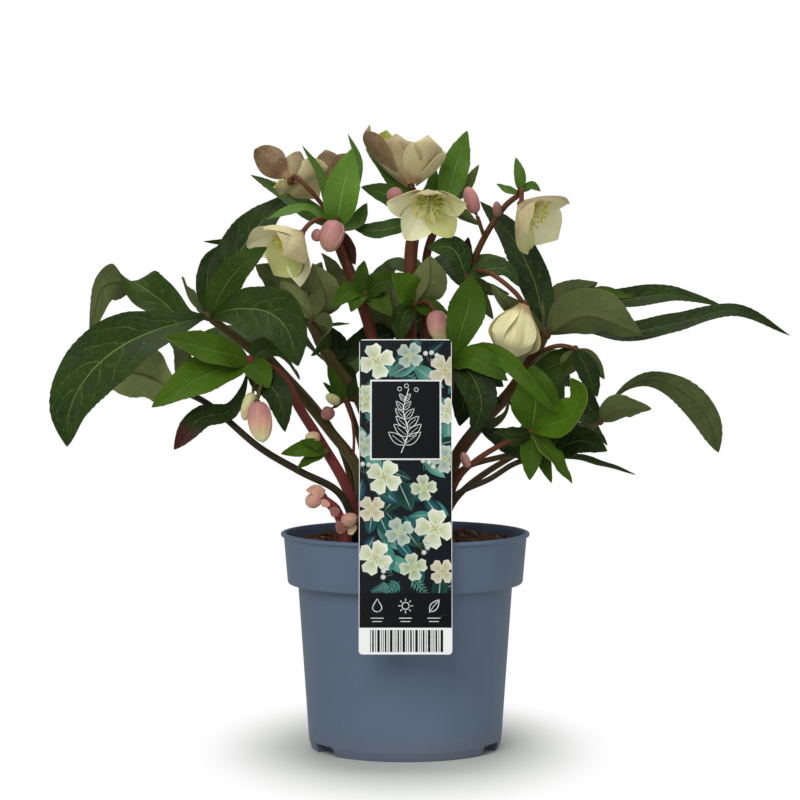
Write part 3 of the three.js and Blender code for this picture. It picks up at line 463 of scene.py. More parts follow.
# %% Petals
def petal_finish(name, pale, deep, heart, line, blush_from, rough):
    """One face of a petal: pale to deep as tone rises to 1 and green at 2, with fine lines."""
    made, tree, shader, place = finish(name, reflects=0.3, flesh=0.12)
    spread = stored(tree, "spread", "Vector")
    parts = node(tree, "SeparateXYZ", {0: spread}).outputs
    cloud = placed(tree, MOTTLE, place=place, scale=70.0, contrast=1.6)["Value"]
    tone = stored(tree, "tone")
    share = times(tree, tone, ramped(tree, cloud, 0.25, 0.7, 0.84, 1.0))
    skin = mixed(tree, share, pale, deep)
    skin = mixed(tree, ramped(tree, tone, 1.1, 2.0), skin, "#c6c763")
    near_heart = ramped(tree, parts[1], 0.05, blush_from, 0.9, 0.0)
    skin = mixed(tree, near_heart, skin, heart)
    lines = placed(tree, LINES, spread=spread, stretch=(13.0, 1.4, 1.0), scale=1.6, start=0.52)["Mask"]
    strength = times(tree, tone, 0.4, 0.12)
    skin = mixed(tree, times(tree, lines, strength), skin, line)
    veins = placed(tree, VEINS, spread=spread, midrib_width=0.1, vein_width=0.2)
    crepe = placed(tree, GRAIN, place=place, scale=1000.0)["Height"]
    height = times(tree, lines, -0.5, times(tree, crepe, 0.2, veins["Height"]))
    connect(tree, shader, skin, times(tree, cloud, 0.16, rough), height, 0.00015)
    return made


petal_inside = petal_finish("petal_inside", "#f4eecb", "#b3bb50", "#c9cf88", "#d8d6ae", 0.26, 0.45)
petal_back = petal_finish("petal_back", "#e7deaa", "#684b31", "#a4855a", "#78453b", 0.22, 0.5)
print("petal finishes:", petal_inside.name, petal_back.name)

# %% Buds and flower hearts
bud_skin, tree, shader, place = finish("bud_skin", reflects=0.35, flesh=0.12)
spread = stored(tree, "spread", "Vector")
skin = banded(tree, stored(tree, "tone"), {
    0.0: "#7d4638", 0.3: "#ad6a72", 0.65: "#cf9c86", 1.0: "#d8d49a"})
lines = placed(tree, LINES, spread=spread, stretch=(9.0, 1.2, 1.0), scale=1.8, start=0.5)["Mask"]
skin = mixed(tree, times(tree, lines, 0.3), skin, "#8f4f5a")
edge_of = worked(tree, "ABSOLUTE", node(tree, "SeparateXYZ", {0: spread}).outputs[0])
skin = mixed(tree, ramped(tree, edge_of, 0.75, 1.0, 0.0, 0.22), skin, "#e0c2a4")
cloud = placed(tree, MOTTLE, place=place, scale=110.0, contrast=1.8)["Value"]
skin = mixed(tree, times(tree, cloud, 0.2), skin, "#e6c9a0")
crepe = placed(tree, GRAIN, place=place, scale=1200.0)["Height"]
dullness = times(tree, cloud, 0.15, 0.38)
connect(tree, shader, skin, dullness, times(tree, lines, -0.6, crepe), 0.00015)

flower_heart, tree, shader, place = finish("flower_heart", reflects=0.3, flesh=0.1)
cloud = placed(tree, MOTTLE, place=place, scale=260.0, contrast=2.0)["Value"]
pollen = mixed(tree, times(tree, cloud, 0.3), stored(tree, "tint", "Color"), "#c9b53c")
dusty = placed(tree, GRAIN, place=place, scale=2600.0)["Height"]
connect(tree, shader, pollen, times(tree, cloud, 0.2, 0.5), dusty, 0.0002)
print("finishes:", len(bpy.data.materials))

# %% [markdown]
# ## Mesh helpers
# Nearly everything on a plant is one of two shapes: a thin sheet, such as a leaf or a petal, or a
# tube, such as a cane or a stamen. A sheet here is two grids of points, a top and an underside,
# closed by a rim. A tube is a stack of rings with capped ends. Both follow a smooth curve through a
# few points. The plant is laid out on a front elevation, and each point then slides along its line
# of sight to its depth, so the elevation stays true however deep the plant is.

# %% Curves
def at(point):
    """A point of the elevation, [x, z, depth], slid along its line of sight to its depth."""
    x, z, depth = point
    flat = np.array([x, 0.0, z])
    return flat + (EYE - flat) * (depth / EYE[1])


def unit(vector):
    """A vector, or each of a stack of vectors, at length 1."""
    vector = np.asarray(vector, float)
    return vector / np.linalg.norm(vector, axis=-1, keepdims=True)


def smooth_route(through, count):
    """count + 1 evenly spaced points on a smooth curve, and the directions there."""
    through = np.asarray(through, float)
    ends = (2 * through[0] - through[1], 2 * through[-1] - through[-2])
    padded = np.vstack([ends[0], through, ends[1]])
    gap = np.sqrt(np.linalg.norm(np.diff(padded, axis=0), axis=1))
    share = np.linspace(0, 1, 24, endpoint=False)[:, None]
    drawn = []
    for k in range(1, len(padded) - 2):
        before, here, there, after = padded[k - 1:k + 3]
        d0, d1, d2 = gap[k - 1:k + 2]
        leaving = ((here - before) / d0 - (there - before) / (d0 + d1) + (there - here) / d1) * d1
        arriving = ((there - here) / d1 - (after - here) / (d1 + d2) + (after - there) / d2) * d1
        drawn.append((2 * share**3 - 3 * share**2 + 1) * here + (3 * share**2 - 2 * share**3) * there
                     + (share**3 - 2 * share**2 + share) * leaving + (share**3 - share**2) * arriving)
    drawn = np.vstack([*drawn, through[-1:]])
    walked = np.concatenate([[0], np.cumsum(np.linalg.norm(np.diff(drawn, axis=0), axis=1))])
    even = np.linspace(0, walked[-1], count + 1)
    places = np.column_stack([np.interp(even, walked, drawn[:, axis]) for axis in range(3)])
    return places, unit(np.gradient(places, axis=0))


def framed_route(through, count, face, twist=0.0):
    """A route's places, its normals and the ways to its side. The normal starts at face, stays
    square to the route and turns over by twist."""
    places, ways = smooth_route(through, count)
    normal = np.asarray(face, float)
    normals = []
    for step, way in enumerate(ways):
        normal = unit(normal - normal.dot(way) * way)
        share = np.clip((step / count - 0.4) / 0.35, 0, 1)
        turn = math.radians(twist) * share**2 * (3 - 2 * share)
        normals.append(normal * math.cos(turn) + np.cross(way, normal) * math.sin(turn))
    normals = np.array(normals)
    return places, normals, np.cross(normals, ways)

# %% Sheets
def grid_quads(rows, columns, closed=False):
    """The corners of the quads of a grid of points, closed around if it is a tube."""
    width = columns if closed else columns + 1
    i, j = np.mgrid[0:rows, 0:columns]
    right = (j + 1) % width
    corners = [i * width + j, (i + 1) * width + j, (i + 1) * width + right, i * width + right]
    return np.stack(corners, -1).reshape(-1, 4)


def part(points, faces, finishes, tone=0.5, spread=None, tint=None):
    """Points in millimetres, faces, a finish number for each face, and what the points store."""
    count = len(points)
    return dict(
        points=np.asarray(points, float), faces=faces, finishes=list(finishes),
        tone=np.broadcast_to(np.asarray(tone, float), (count,)),
        spread=np.zeros((count, 3)) if spread is None else spread,
        tint=np.ones((count, 4)) if tint is None else np.broadcast_to(tint, (count, 4)))


def sheet(top, under, tone=0.5, scorch=0.0, finishes=(0, 1), tint=None, stretch=None):
    """A thin closed sheet between two grids of points, with one finish for each face."""
    rows, columns = top.shape[0] - 1, top.shape[1] - 1
    size = (rows + 1) * (columns + 1)
    index = np.arange(size).reshape(rows + 1, columns + 1)
    edge = np.concatenate([index[:, 0], index[-1, 1:], index[-2::-1, -1], index[0, -2:0:-1]])
    onward = np.roll(edge, -1)
    quads = grid_quads(rows, columns)
    rim = np.stack([edge + size, onward + size, onward, edge], -1)
    faces = np.vstack([quads, quads[:, ::-1] + size, rim]).tolist()
    marks = [finishes[0]] * len(quads) + [finishes[1]] * (len(quads) + len(rim))
    u = np.linspace(-1, 1, columns + 1) if stretch is None else stretch
    spread = np.zeros((rows + 1, columns + 1, 3))
    spread[..., 0], spread[..., 1] = u[None, :], np.linspace(0, 1, rows + 1)[:, None]
    spread[..., 2] = scorch
    spread = np.tile(spread.reshape(-1, 3), (2, 1))
    points = np.vstack([top.reshape(-1, 3), under.reshape(-1, 3)])
    tone = np.tile(np.broadcast_to(tone, (rows + 1, columns + 1)).reshape(-1), 2)
    return part(points, faces, marks, tone, spread, tint)


def blade(route, reach, rise, above, below, **looks):
    """A sheet along a framed route: how far across each point is, how high its middle lies, and how
    far its two faces stand above and below that."""
    places, normals, sides = route
    body = places[:, None] + sides[:, None] * reach[..., None]
    top = body + normals[:, None] * (rise + above)[..., None]
    under = body + normals[:, None] * (rise - below)[..., None]
    return sheet(top, under, **looks)

# %% Tubes
def rings(places, normals, sides, radii, count):
    """Rings of points around a route. Radii has one value a ring, or one for each point of it."""
    angle = np.linspace(0, 2 * math.pi, count, endpoint=False)[None, :, None]
    radii = np.broadcast_to(np.asarray(radii, float).reshape(len(places), -1), (len(places), count))
    out = sides[:, None] * np.cos(angle) - normals[:, None] * np.sin(angle)
    return places[:, None] + out * radii[..., None]


def tube(stack, tone=0.5, tint=None):
    """A closed tube from a stack of rings. Its ends are capped."""
    rows, count = stack.shape[0] - 1, stack.shape[1]
    faces = grid_quads(rows, count, closed=True).tolist()
    faces += [list(range(count)), list(range(rows * count, rows * count + count))[::-1]]
    spread = np.zeros((rows + 1, count, 3))
    spread[..., 0] = np.linspace(-1, 1, count)[None, :]
    spread[..., 1] = np.linspace(0, 1, rows + 1)[:, None]
    tone = np.broadcast_to(tone, (rows + 1, count)).reshape(-1)
    return part(stack.reshape(-1, 3), faces, [0] * len(faces), tone, spread.reshape(-1, 3), tint)


def swept(through, count, face, radii, corners, **looks):
    """A closed tube along a smooth route, framed from face."""
    places, normals, sides = framed_route(through, count, face)
    return tube(rings(places, normals, sides, radii, corners), **looks)

# %% Build a piece
SHARP_ANGLE = math.radians(42)


def piece(name, parts, finishes, slot, *nodes):
    """One object from its parts. It rides with the pot and stands for the named CAD nodes."""
    mesh = bpy.data.meshes.new(name)
    starts = np.cumsum([0] + [len(each["points"]) for each in parts])
    faces = [[corner + start for corner in face]
             for each, start in zip(parts, starts.tolist()) for face in each["faces"]]
    mesh.from_pydata(np.vstack([each["points"] for each in parts]) * MM, [], faces)
    marks = [mark for each in parts for mark in each["finishes"]]
    mesh.polygons.foreach_set("material_index", marks)
    for label, kind, field in (("tone", "FLOAT", "value"), ("spread", "FLOAT_VECTOR", "vector"),
                               ("tint", "FLOAT_COLOR", "color")):
        values = np.concatenate([np.asarray(each[label], np.float32) for each in parts])
        mesh.attributes.new(label, kind, "POINT").data.foreach_set(field, values.ravel())
    for each in finishes:
        mesh.materials.append(each)
    mesh.polygons.foreach_set("use_smooth", [True] * len(mesh.polygons))
    mesh.set_sharp_from_angle(angle=SHARP_ANGLE)
    made = bpy.data.objects.new(name, mesh)
    bpy.context.collection.objects.link(made)
    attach(made, "root")
    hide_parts(*nodes)
    return made

# %% [markdown]
# ## The pot
# A nursery pot is turned in section: a foot, a tapering body, a step out to a deep collar, and a
# thin rolled lip that a finger can get under. A section drawn as a row of corners, with each corner
# eased, spun around the axis gives it in one mesh. Three notches in the foot let water out, and a
# boolean cut makes them as cleanly as the mould does.

# %% Pot section
RIM_R, POT_H, LIP_H, WALL = 85.0, 148.0, 3.0, 1.6
COLLAR_TOP_R, COLLAR_FOOT_R, COLLAR_FOOT_Z = 83.0, 80.8, 113.0
BODY_TOP_R, BODY_FOOT_R, FOOT_R, CHAMFER_H = 73.3, 66.0, 64.0, 6.0
PAD_R, FOOT_RING_R, FOOT_RECESS, FLOOR_Z = 22.0, 54.0, 3.0, 5.0
NOTCH_WIDTH, NOTCH_H, NOTCH_DEPTH = 22.0, 6.4, 8.0
NOTCH_ANGLES = (-147, -27, 93)
POT_SIDES, LONGEST_RUN = 180, 9.0

POT_SECTION = [
    (0.2, 0, 0), (PAD_R, 0, 0.5), (PAD_R + 2, FOOT_RECESS, 0.5),
    (FOOT_RING_R - 2, FOOT_RECESS, 0.5), (FOOT_RING_R, 0, 0.5), (FOOT_R, 0, 0.8),
    (BODY_FOOT_R, CHAMFER_H, 0.7), (BODY_TOP_R, COLLAR_FOOT_Z, 0.6),
    (COLLAR_FOOT_R - 0.5, COLLAR_FOOT_Z, 1.7), (COLLAR_TOP_R, POT_H - LIP_H, 0.5),
    (RIM_R, POT_H - LIP_H + 0.4, 0.7), (RIM_R, POT_H - 0.5, 1.2),
    (COLLAR_TOP_R - WALL + 0.6, POT_H, 1.0), (COLLAR_TOP_R - WALL, POT_H - LIP_H, 0.8),
    (COLLAR_FOOT_R - WALL, COLLAR_FOOT_Z + WALL, 1.2),
    (BODY_TOP_R - WALL, COLLAR_FOOT_Z + WALL, 0.8), (BODY_FOOT_R - WALL, CHAMFER_H + 1, 1.5),
    (BODY_FOOT_R - WALL - 3, FLOOR_Z, 1.5), (0.2, FLOOR_Z, 0),
]


def eased(corners):
    """A section with each corner rounded by its own radius and its long runs divided."""
    line = []
    for k, (r, z, ease) in enumerate(corners):
        here = np.array([r, z], float)
        if ease == 0:
            line.append(here)
            continue
        before, after = np.array(corners[k - 1][:2], float), np.array(corners[k + 1][:2], float)
        start = here + unit(before - here) * min(ease, np.linalg.norm(before - here) * 0.45)
        end = here + unit(after - here) * min(ease, np.linalg.norm(after - here) * 0.45)
        for s in np.linspace(0, 1, 5):
            line.append((1 - s)**2 * start + 2 * s * (1 - s) * here + s**2 * end)
    full = [line[0]]
    for point in line[1:]:
        pieces = max(1, math.ceil(np.linalg.norm(point - full[-1]) / LONGEST_RUN))
        full += [full[-1] + (point - full[-1]) * (k + 1) / pieces for k in range(pieces)]
    return np.array(full)


def spun(section, sides):
    """Rings of points from a section spun around the upright axis."""
    angle = np.linspace(0, 2 * math.pi, sides, endpoint=False)
    r, z = section[:, 0, None], section[:, 1, None]
    return np.stack([r * np.cos(angle), r * np.sin(angle), z + 0 * angle], -1)


pot_section = eased(POT_SECTION)
print("points in the pot's section:", len(pot_section))

# %% Pot with its notches
def cutter(angle):
    """A block with eased edges that cuts one notch in the foot."""
    block = bmesh.new()
    bmesh.ops.create_cube(block, size=1.0)
    size = [side * MM for side in (2 * NOTCH_DEPTH, NOTCH_WIDTH, 2 * NOTCH_H)]
    bmesh.ops.scale(block, vec=size, verts=block.verts)
    bmesh.ops.translate(block, vec=(FOOT_R * MM, 0, 0), verts=block.verts)
    bmesh.ops.bevel(block, geom=block.edges[:], offset=1.2 * MM, segments=3, affect="EDGES")
    mesh = bpy.data.meshes.new("notch_cutter")
    block.to_mesh(mesh)
    block.free()
    made = bpy.data.objects.new("notch_cutter", mesh)
    made.rotation_euler.z = math.radians(angle)
    bpy.context.collection.objects.link(made)
    return made


def with_cuts(made, cutters):
    """Cuts the given blocks out of a piece, applies the cuts and takes the blocks away."""
    for block in cutters:
        cut = made.modifiers.new("notch", "BOOLEAN")
        cut.object, cut.operation, cut.solver = block, "DIFFERENCE", "EXACT"
    bpy.context.view_layer.update()
    ready = made.evaluated_get(bpy.context.evaluated_depsgraph_get())
    cut_mesh = bpy.data.meshes.new_from_object(ready)
    made.modifiers.clear()
    made.data = cut_mesh
    for block in cutters:
        bpy.data.objects.remove(block)


pot = piece("nursery_pot", [tube(spun(pot_section, POT_SIDES)[::-1])], [pot_plastic], "pot", "pot")
with_cuts(pot, [cutter(angle) for angle in NOTCH_ANGLES])
pot.data.set_sharp_from_angle(angle=SHARP_ANGLE)
print("pot faces:", len(pot.data.polygons))

# %% [markdown]
# ## Soil
# Potting soil isn't a smooth disc. It swells around the crown of the plant, sinks towards the wall,
# and carries crumbs, bark and pale root fibres. The surface is a fine round grid moved up and down
# by many small waves, and over a thousand crumbs and fibres are scattered on it.

# %% Soil surface
SOIL_TOP_Z, SOIL_CROWN, SOIL_CROWN_R, SOIL_BOTTOM_Z = 141.5, 3.0, 46.0, 7.0
SOIL_R, SURFACE_RINGS = 79.6, 64
SOIL_FOOT_RINGS = ((SOIL_R, 132.0), (78.2, 115.4), (71.0, 115.2), (63.4, SOIL_BOTTOM_Z),
                   (0.4, SOIL_BOTTOM_Z))
WAVES = 26

wave_way = unit(chance.normal(size=(WAVES, 2)))
wave_pitch = chance.uniform(0.2, 1.5, WAVES)
wave_start = chance.uniform(0, 2 * math.pi, WAVES)


def soil_height(x, y):
    """How high the soil lies at a place: its crown, its fall to the wall, and its lumps."""
    from_axis = np.hypot(x, y)
    crown = SOIL_CROWN * np.clip(1.25 - from_axis / SOIL_CROWN_R, -0.4, 1)
    lumps = sum(np.sin((x * way[0] + y * way[1]) * pitch + start) / (1 + 2.2 * pitch)
                for way, pitch, start in zip(wave_way, wave_pitch, wave_start))
    return SOIL_TOP_Z + crown + 0.75 * lumps


def soil_plug():
    """The ball of soil, from its lumpy surface down to the pot's floor."""
    foot_radii, foot_levels = np.array(SOIL_FOOT_RINGS).T
    radii = np.concatenate([np.linspace(0.4, SOIL_R, SURFACE_RINGS), foot_radii])
    angle = np.linspace(0, 2 * math.pi, 200, endpoint=False)
    x, y = radii[:, None] * np.cos(angle), radii[:, None] * np.sin(angle)
    z = soil_height(x, y)
    z[SURFACE_RINGS:] = foot_levels[:, None]
    return tube(np.stack([x, y, z], -1), tone=0.12)


piece("potting_soil", [soil_plug()], [soil_earth], "soil", "soil")
print("soil surface from", round(float(soil_height(70, 0)), 1),
      "to", round(float(soil_height(0, 0)), 1), "mm")

# %% Crumbs and fibres
CRUMBS = 1300
FIBRES = 90


def lump_shape(detail):
    """The points and faces of a ball of triangles, as a base for one crumb."""
    ball = bmesh.new()
    bmesh.ops.create_icosphere(ball, subdivisions=detail, radius=1.0)
    points = np.array([vertex.co[:] for vertex in ball.verts])
    faces = [[vertex.index for vertex in face.verts] for face in ball.faces]
    ball.free()
    return points, faces


def crumb(shape, size, middle, tone):
    """One crumb: a ball pushed out of round, flattened and turned."""
    points, faces = shape
    lumpy = points * (1 + 0.22 * chance.normal(size=(len(points), 1)).clip(-1.5, 1.5))
    turn, _ = np.linalg.qr(chance.normal(size=(3, 3)))
    turn *= np.sign(np.linalg.det(turn))
    stretched = (lumpy * chance.uniform(0.55, 1.25, 3)) @ turn.T
    return part(stretched * size + middle, faces, [0] * len(faces), tone)


def on_soil(reach):
    """A random place on the soil, evenly spread over its disc."""
    radius, angle = reach * math.sqrt(chance.uniform(0.02, 1)), chance.uniform(0, 2 * math.pi)
    x, y = radius * math.cos(angle), radius * math.sin(angle)
    return np.array([x, y, float(soil_height(x, y))])


shapes = {1: lump_shape(1), 2: lump_shape(2)}
crumbs = []
for _ in range(CRUMBS):
    size = 0.5 + 1.9 * chance.random()**3
    middle = on_soil(77.5 - size) + np.array([0, 0, 0.4 * size])
    crumbs.append(crumb(shapes[2 if size > 1.7 else 1], size, middle, chance.uniform(0, 0.85)))
piece("soil_crumbs", crumbs, [soil_earth], "soil", "soil")

fibres = []
for _ in range(FIBRES):
    start = on_soil(73)
    heading, reach = chance.uniform(0, 2 * math.pi), chance.uniform(3, 11)
    way = np.array([math.cos(heading), math.sin(heading), 0])
    bow = np.array([-way[1], way[0], 0]) * chance.uniform(-2, 2)
    middle, end = start + way * reach / 2 + bow, start + way * reach
    middle[2] = soil_height(middle[0], middle[1]) + chance.uniform(0.5, 1.8)
    end[2] = soil_height(end[0], end[1]) + 0.3
    thickness = chance.uniform(0.2, 0.55) * np.linspace(1, 0.5, 7)
    pale = chance.random()**2
    fibres.append(swept([start, middle, end], 6, (0.1, 0.2, 1.0), thickness, 5, tone=pale))
piece("soil_fibres", fibres, [soil_fibre], "soil", "soil")
print("crumbs and fibres:", len(crumbs), len(fibres))

# %% [markdown]
# ## The plant label
# The label is a tall printed card that leans against the collar. Its tongue folds back over the lip
# and down to the soil, which is what holds it. The print is laid on as very thin layers of ink,
# each a shape of its own, from the ground up: leaves and fronds, four-petalled blossoms and berries,
# a framed dark panel with a drawn sprig, a dark band with care signs, and a pale foot with bars.
# There is no lettering on it.

# %% Label card
LABEL_W, LABEL_T, LABEL_CORNER = 61.0, 0.8, 2.5
LABEL_FOOT = np.array([0.0, -99.4, 77.0])
LABEL_HEAD = np.array([0.0, -60.4, 281.0])
LABEL_H = float(np.linalg.norm(LABEL_HEAD - LABEL_FOOT))
LABEL_UP = unit(LABEL_HEAD - LABEL_FOOT)
LABEL_OUT = np.array([0.0, -LABEL_UP[2], LABEL_UP[1]])
LABEL_BOW = 0.5


def on_label(u, w, lift):
    """A place on the label: across, up from its foot, and how far it stands off its back."""
    u, w, lift = np.broadcast_arrays(np.asarray(u, float), np.asarray(w, float), lift)
    bow = LABEL_BOW * (1 - (2 * u / LABEL_W)**2) + 0.4 * np.sin(math.pi * w / LABEL_H)
    across = np.stack([u, 0 * u, 0 * u], -1)
    return LABEL_FOOT + across + w[..., None] * LABEL_UP + (lift + bow)[..., None] * LABEL_OUT


def rounded_rows(width, height, corner, rows, columns):
    """A grid of places across and up a card with rounded corners."""
    ease = corner * (1 - np.cos(np.linspace(0, math.pi / 2, 6)))
    w = np.concatenate([ease, np.linspace(corner, height - corner, rows)[1:-1], height - ease[::-1]])
    into = np.clip(corner - np.minimum(w, height - w), 0, corner)
    half = width / 2 - corner + np.sqrt(corner**2 - into**2)
    return half[:, None] * np.linspace(-1, 1, columns + 1)[None, :], w[:, None]


u, w = rounded_rows(LABEL_W, LABEL_H, LABEL_CORNER, 40, 16)
u, w = u[::-1], w[::-1]
card = sheet(on_label(u, w, LABEL_T), on_label(u, w, 0.0))
fold = [[0, -83.8, 156.0], [0, -82.9, 153.4], [0, -80.8, 151.8], [0, -78.0, 151.0], [0, -76.6, 147.5],
        [0, -75.8, 141.4]]
places, ways = smooth_route(fold, 24)
facing = np.cross(ways, np.array([1.0, 0, 0]))
strip = places[:, None] + np.linspace(-10, 10, 9)[None, :, None] * np.array([1.0, 0, 0])
tongue = sheet(strip + 0.35 * facing[:, None], strip - 0.35 * facing[:, None])
piece("label_card", [card, tongue], [label_card, label_card], "label", "plant_label")
print("label:", LABEL_W, "by", round(LABEL_H, 1), "mm")

# %% Ink shapes
INK = 0.03
EDGE = 0.4


def block(left, right, foot, head, level, colour):
    """A rectangle of ink, laid on at the given level."""
    columns, rows = max(1, round((right - left) / 6)), max(1, round((head - foot) / 6))
    u = np.linspace(left, right, columns + 1)[None, :]
    w = np.linspace(head, foot, rows + 1)[:, None]
    top = on_label(u, w, LABEL_T + level + INK)
    return sheet(top, on_label(u, w, LABEL_T + level - INK), tint=hue(colour), finishes=(0, 0))


def blot(outline, centre, level, edge, heart, tilt=0.0):
    """A shape of ink from its outline around a centre. Its colour runs from heart to edge."""
    outline, centre = np.asarray(outline, float), np.asarray(centre, float)
    half = LABEL_W / 2 - EDGE
    uw = np.vstack([outline, (outline + centre) / 2, centre[None]])
    uw[:, 0], uw[:, 1] = uw[:, 0].clip(-half, half), uw[:, 1].clip(40.0, LABEL_H - EDGE)
    count, size = len(outline), len(uw)
    ring = np.arange(count)
    onward = np.roll(ring, -1)
    quads = np.stack([ring, onward, onward + count, ring + count], -1)
    fan = np.stack([ring + count, onward + count, np.full(count, 2 * count)], -1)
    rim = np.stack([ring + size, onward + size, onward, ring], -1)
    faces = quads.tolist() + fan.tolist() + rim.tolist()
    faces += (quads[:, ::-1] + size).tolist() + (fan[:, ::-1] + size).tolist()
    top = on_label(uw[:, 0], uw[:, 1], LABEL_T + level + INK / 2)
    back = on_label(uw[:, 0], uw[:, 1], LABEL_T + level - INK / 2)
    edge, heart = np.array(hue(edge)), np.array(hue(heart))
    shade = 1 + tilt * (uw[:, :1] - centre[0]) / 8
    share = np.concatenate([np.zeros(count), np.full(count, 0.55), [1.0]])[:, None]
    tint = (edge * (1 - share) + heart * share) * shade.clip(0.6, 1.5)
    return part(np.vstack([top, back]), faces, [0] * len(faces), tint=np.vstack([tint, tint]))


def turned(shape, angle, place, size):
    """A drawn shape scaled, turned by degrees and moved to its place."""
    c, s = math.cos(math.radians(angle)), math.sin(math.radians(angle))
    return np.asarray(shape) * size @ np.array([[c, s], [-s, c]]) + place


def lens(width, count=9):
    """A leaf drawn from 0 to 1 along the first axis, widest before its middle."""
    t = np.linspace(0, 1, count)
    half = width / 2 * np.sin(math.pi * t**0.8)**0.9
    return np.vstack([np.column_stack([t, -half]), np.column_stack([t, half])[-2:0:-1]])


def round_shape(count=14):
    """A round spot drawn with this many corners."""
    angle = np.linspace(0, 2 * math.pi, count, endpoint=False)
    return np.column_stack([np.cos(angle), np.sin(angle)])

# %% Drawn plants
GROUND, LEAF_LEVEL, BLOSSOM_LEVEL, PANEL_LEVEL, SIGN_LEVEL = 0.05, 0.09, 0.4, 0.62, 0.72
LEAF_INKS = ("#123440", "#1c5258", "#2f7670", "#1e4a3c", "#4a8f80", "#0e2430", "#6aa596", "#2a6872")
BLOSSOM_INKS = (
    ("#dfe6d2", "#9db07c"), ("#f1f2e4", "#c3d09a"), ("#c9d6cc", "#8fa58c"), ("#e9e0d2", "#b9b98a"))


def leaf_drawing(place, angle, size, level, ink):
    """A drawn leaf with a paler line down its middle."""
    dark, light = LEAF_INKS[ink % 8], LEAF_INKS[(ink + 2) % 8]
    outline = turned(lens(0.42), angle, place, size)
    drawn = [blot(outline, outline.mean(0), level, dark, light, tilt=0.35)]
    vein = turned(lens(0.035, 5) * [0.9, 1] + [0.03, 0], angle, place, size)
    return drawn + [blot(vein, vein.mean(0), level + 0.01, "#7fa79c", "#9cc0b2")]


def frond(place, angle, size, level, ink):
    """A drawn fern frond: short leaves in pairs along a thin line."""
    edge, heart = LEAF_INKS[ink % 8], LEAF_INKS[(ink + 3) % 8]
    drawn = []
    for k in range(7):
        step = 0.16 + 0.12 * k
        reach = size * 0.34 * (1 - 0.75 * step)
        foot = turned([[step, 0]], angle, place, size)[0]
        for lean in (-58, 58):
            outline = turned(lens(0.34, 6), angle + lean, foot, reach)
            drawn.append(blot(outline, outline.mean(0), level, edge, heart))
    spine = turned(lens(0.03, 6), angle, place, size)
    return drawn + [blot(spine, spine.mean(0), level + 0.008, "#4f8a7c", "#7fb0a0")]


def blossom(place, angle, size, level, ink):
    """A drawn blossom of four notched petals around a cluster of dots."""
    edge, heart = BLOSSOM_INKS[ink % 4]
    petal_shape = np.array([[0.04, 0], [0.3, -0.3], [0.68, -0.46], [0.95, -0.26], [0.88, 0],
                            [0.95, 0.26], [0.68, 0.46], [0.3, 0.3]])
    drawn = []
    for k in range(4):
        outline = turned(petal_shape, angle + 90 * k, place, size)
        root = turned([[0.3, 0]], angle + 90 * k, place, size)[0]
        drawn.append(blot(outline, root, level + 0.006 * (k % 2), edge, heart, tilt=0.12))
    for k in range(7):
        dot_place = turned([[0.14 if k else 0.0, 0]], angle + 60 * k, place, size)[0]
        dot = turned(round_shape(7), 0, dot_place, size * 0.055)
        drawn.append(blot(dot, dot_place, level + 0.02, "#c9c46a", "#e9e79a"))
    return drawn


def berries(place, angle, size, level):
    """Three drawn white berries on short stalks."""
    drawn = []
    for k, lean in enumerate((-34, 0, 34)):
        stalk_line = turned(lens(0.06, 5), angle + lean, place, size)
        drawn.append(blot(stalk_line, stalk_line.mean(0), level, "#4c6a58", "#6d8b74"))
        middle = turned([[1.05, 0]], angle + lean, place, size)[0]
        ball = turned(round_shape(), 0, middle, size * 0.26)
        drawn.append(blot(ball, middle + size * 0.07, level + 0.01 + 0.003 * k, "#a9b8ac", "#f4f6ee"))
    return drawn

# %% Ink for the ground
BAND_FOOT, BAND_HEAD = 17.4, 39.7
half = LABEL_W / 2 - EDGE
inks = [block(-half, half, BAND_HEAD, LABEL_H - 0.6, GROUND, "#10171d")]
for k in range(72):
    place = (chance.uniform(-29, 29), chance.uniform(42, 205))
    angle, size = chance.uniform(0, 360), chance.uniform(14, 27)
    draw = frond if k % 5 == 4 else leaf_drawing
    inks += draw(place, angle, size, LEAF_LEVEL + 0.0038 * k, int(chance.integers(8)))
print("drawn shapes so far:", len(inks))

# %% Ink for the blossoms
BLOSSOMS = [
    (-19, 193, 12.5, 1), (3, 197, 9.4, 2), (-26, 168, 9.8, 0), (26, 187, 11.8, 3), (28, 160, 9.2, 1),
    (-28, 138, 9.4, 2), (-14, 116, 12.4, 1), (12, 109, 9.2, 0), (-22, 95, 9.6, 3), (19, 82, 13.8, 1),
    (-4, 80, 10.0, 2), (-20, 63, 12.2, 1), (5, 57, 9.6, 0), (24, 54, 9.0, 3), (26, 128, 9.8, 2),
]
for k, (across, up, size, ink) in enumerate(BLOSSOMS):
    inks += blossom((across, up), 17 + 37 * k, size, BLOSSOM_LEVEL + 0.028 * (k % 4), ink)
for across, up, angle in ((12, 120, 60), (-27, 118, 100), (8, 72, -20), (-8, 52, 160), (16, 192, 80)):
    inks += berries((across, up), angle, 6.5, BLOSSOM_LEVEL + 0.13)
print("drawn shapes with the blossoms:", len(inks))

# %% Drawn lines
LINE_INK = "#eef1f0"


def stroke(points, width, level):
    """A drawn line of even width through the given places."""
    points = np.asarray(points, float)
    ways = unit(np.gradient(points, axis=0))
    across = np.column_stack([-ways[:, 1], ways[:, 0]]) * width / 2
    sides = np.stack([points - across, points + across], 1)
    top = on_label(sides[..., 0], sides[..., 1], LABEL_T + level + INK)
    back = on_label(sides[..., 0], sides[..., 1], LABEL_T + level)
    return sheet(top, back, tint=hue(LINE_INK), finishes=(0, 0))


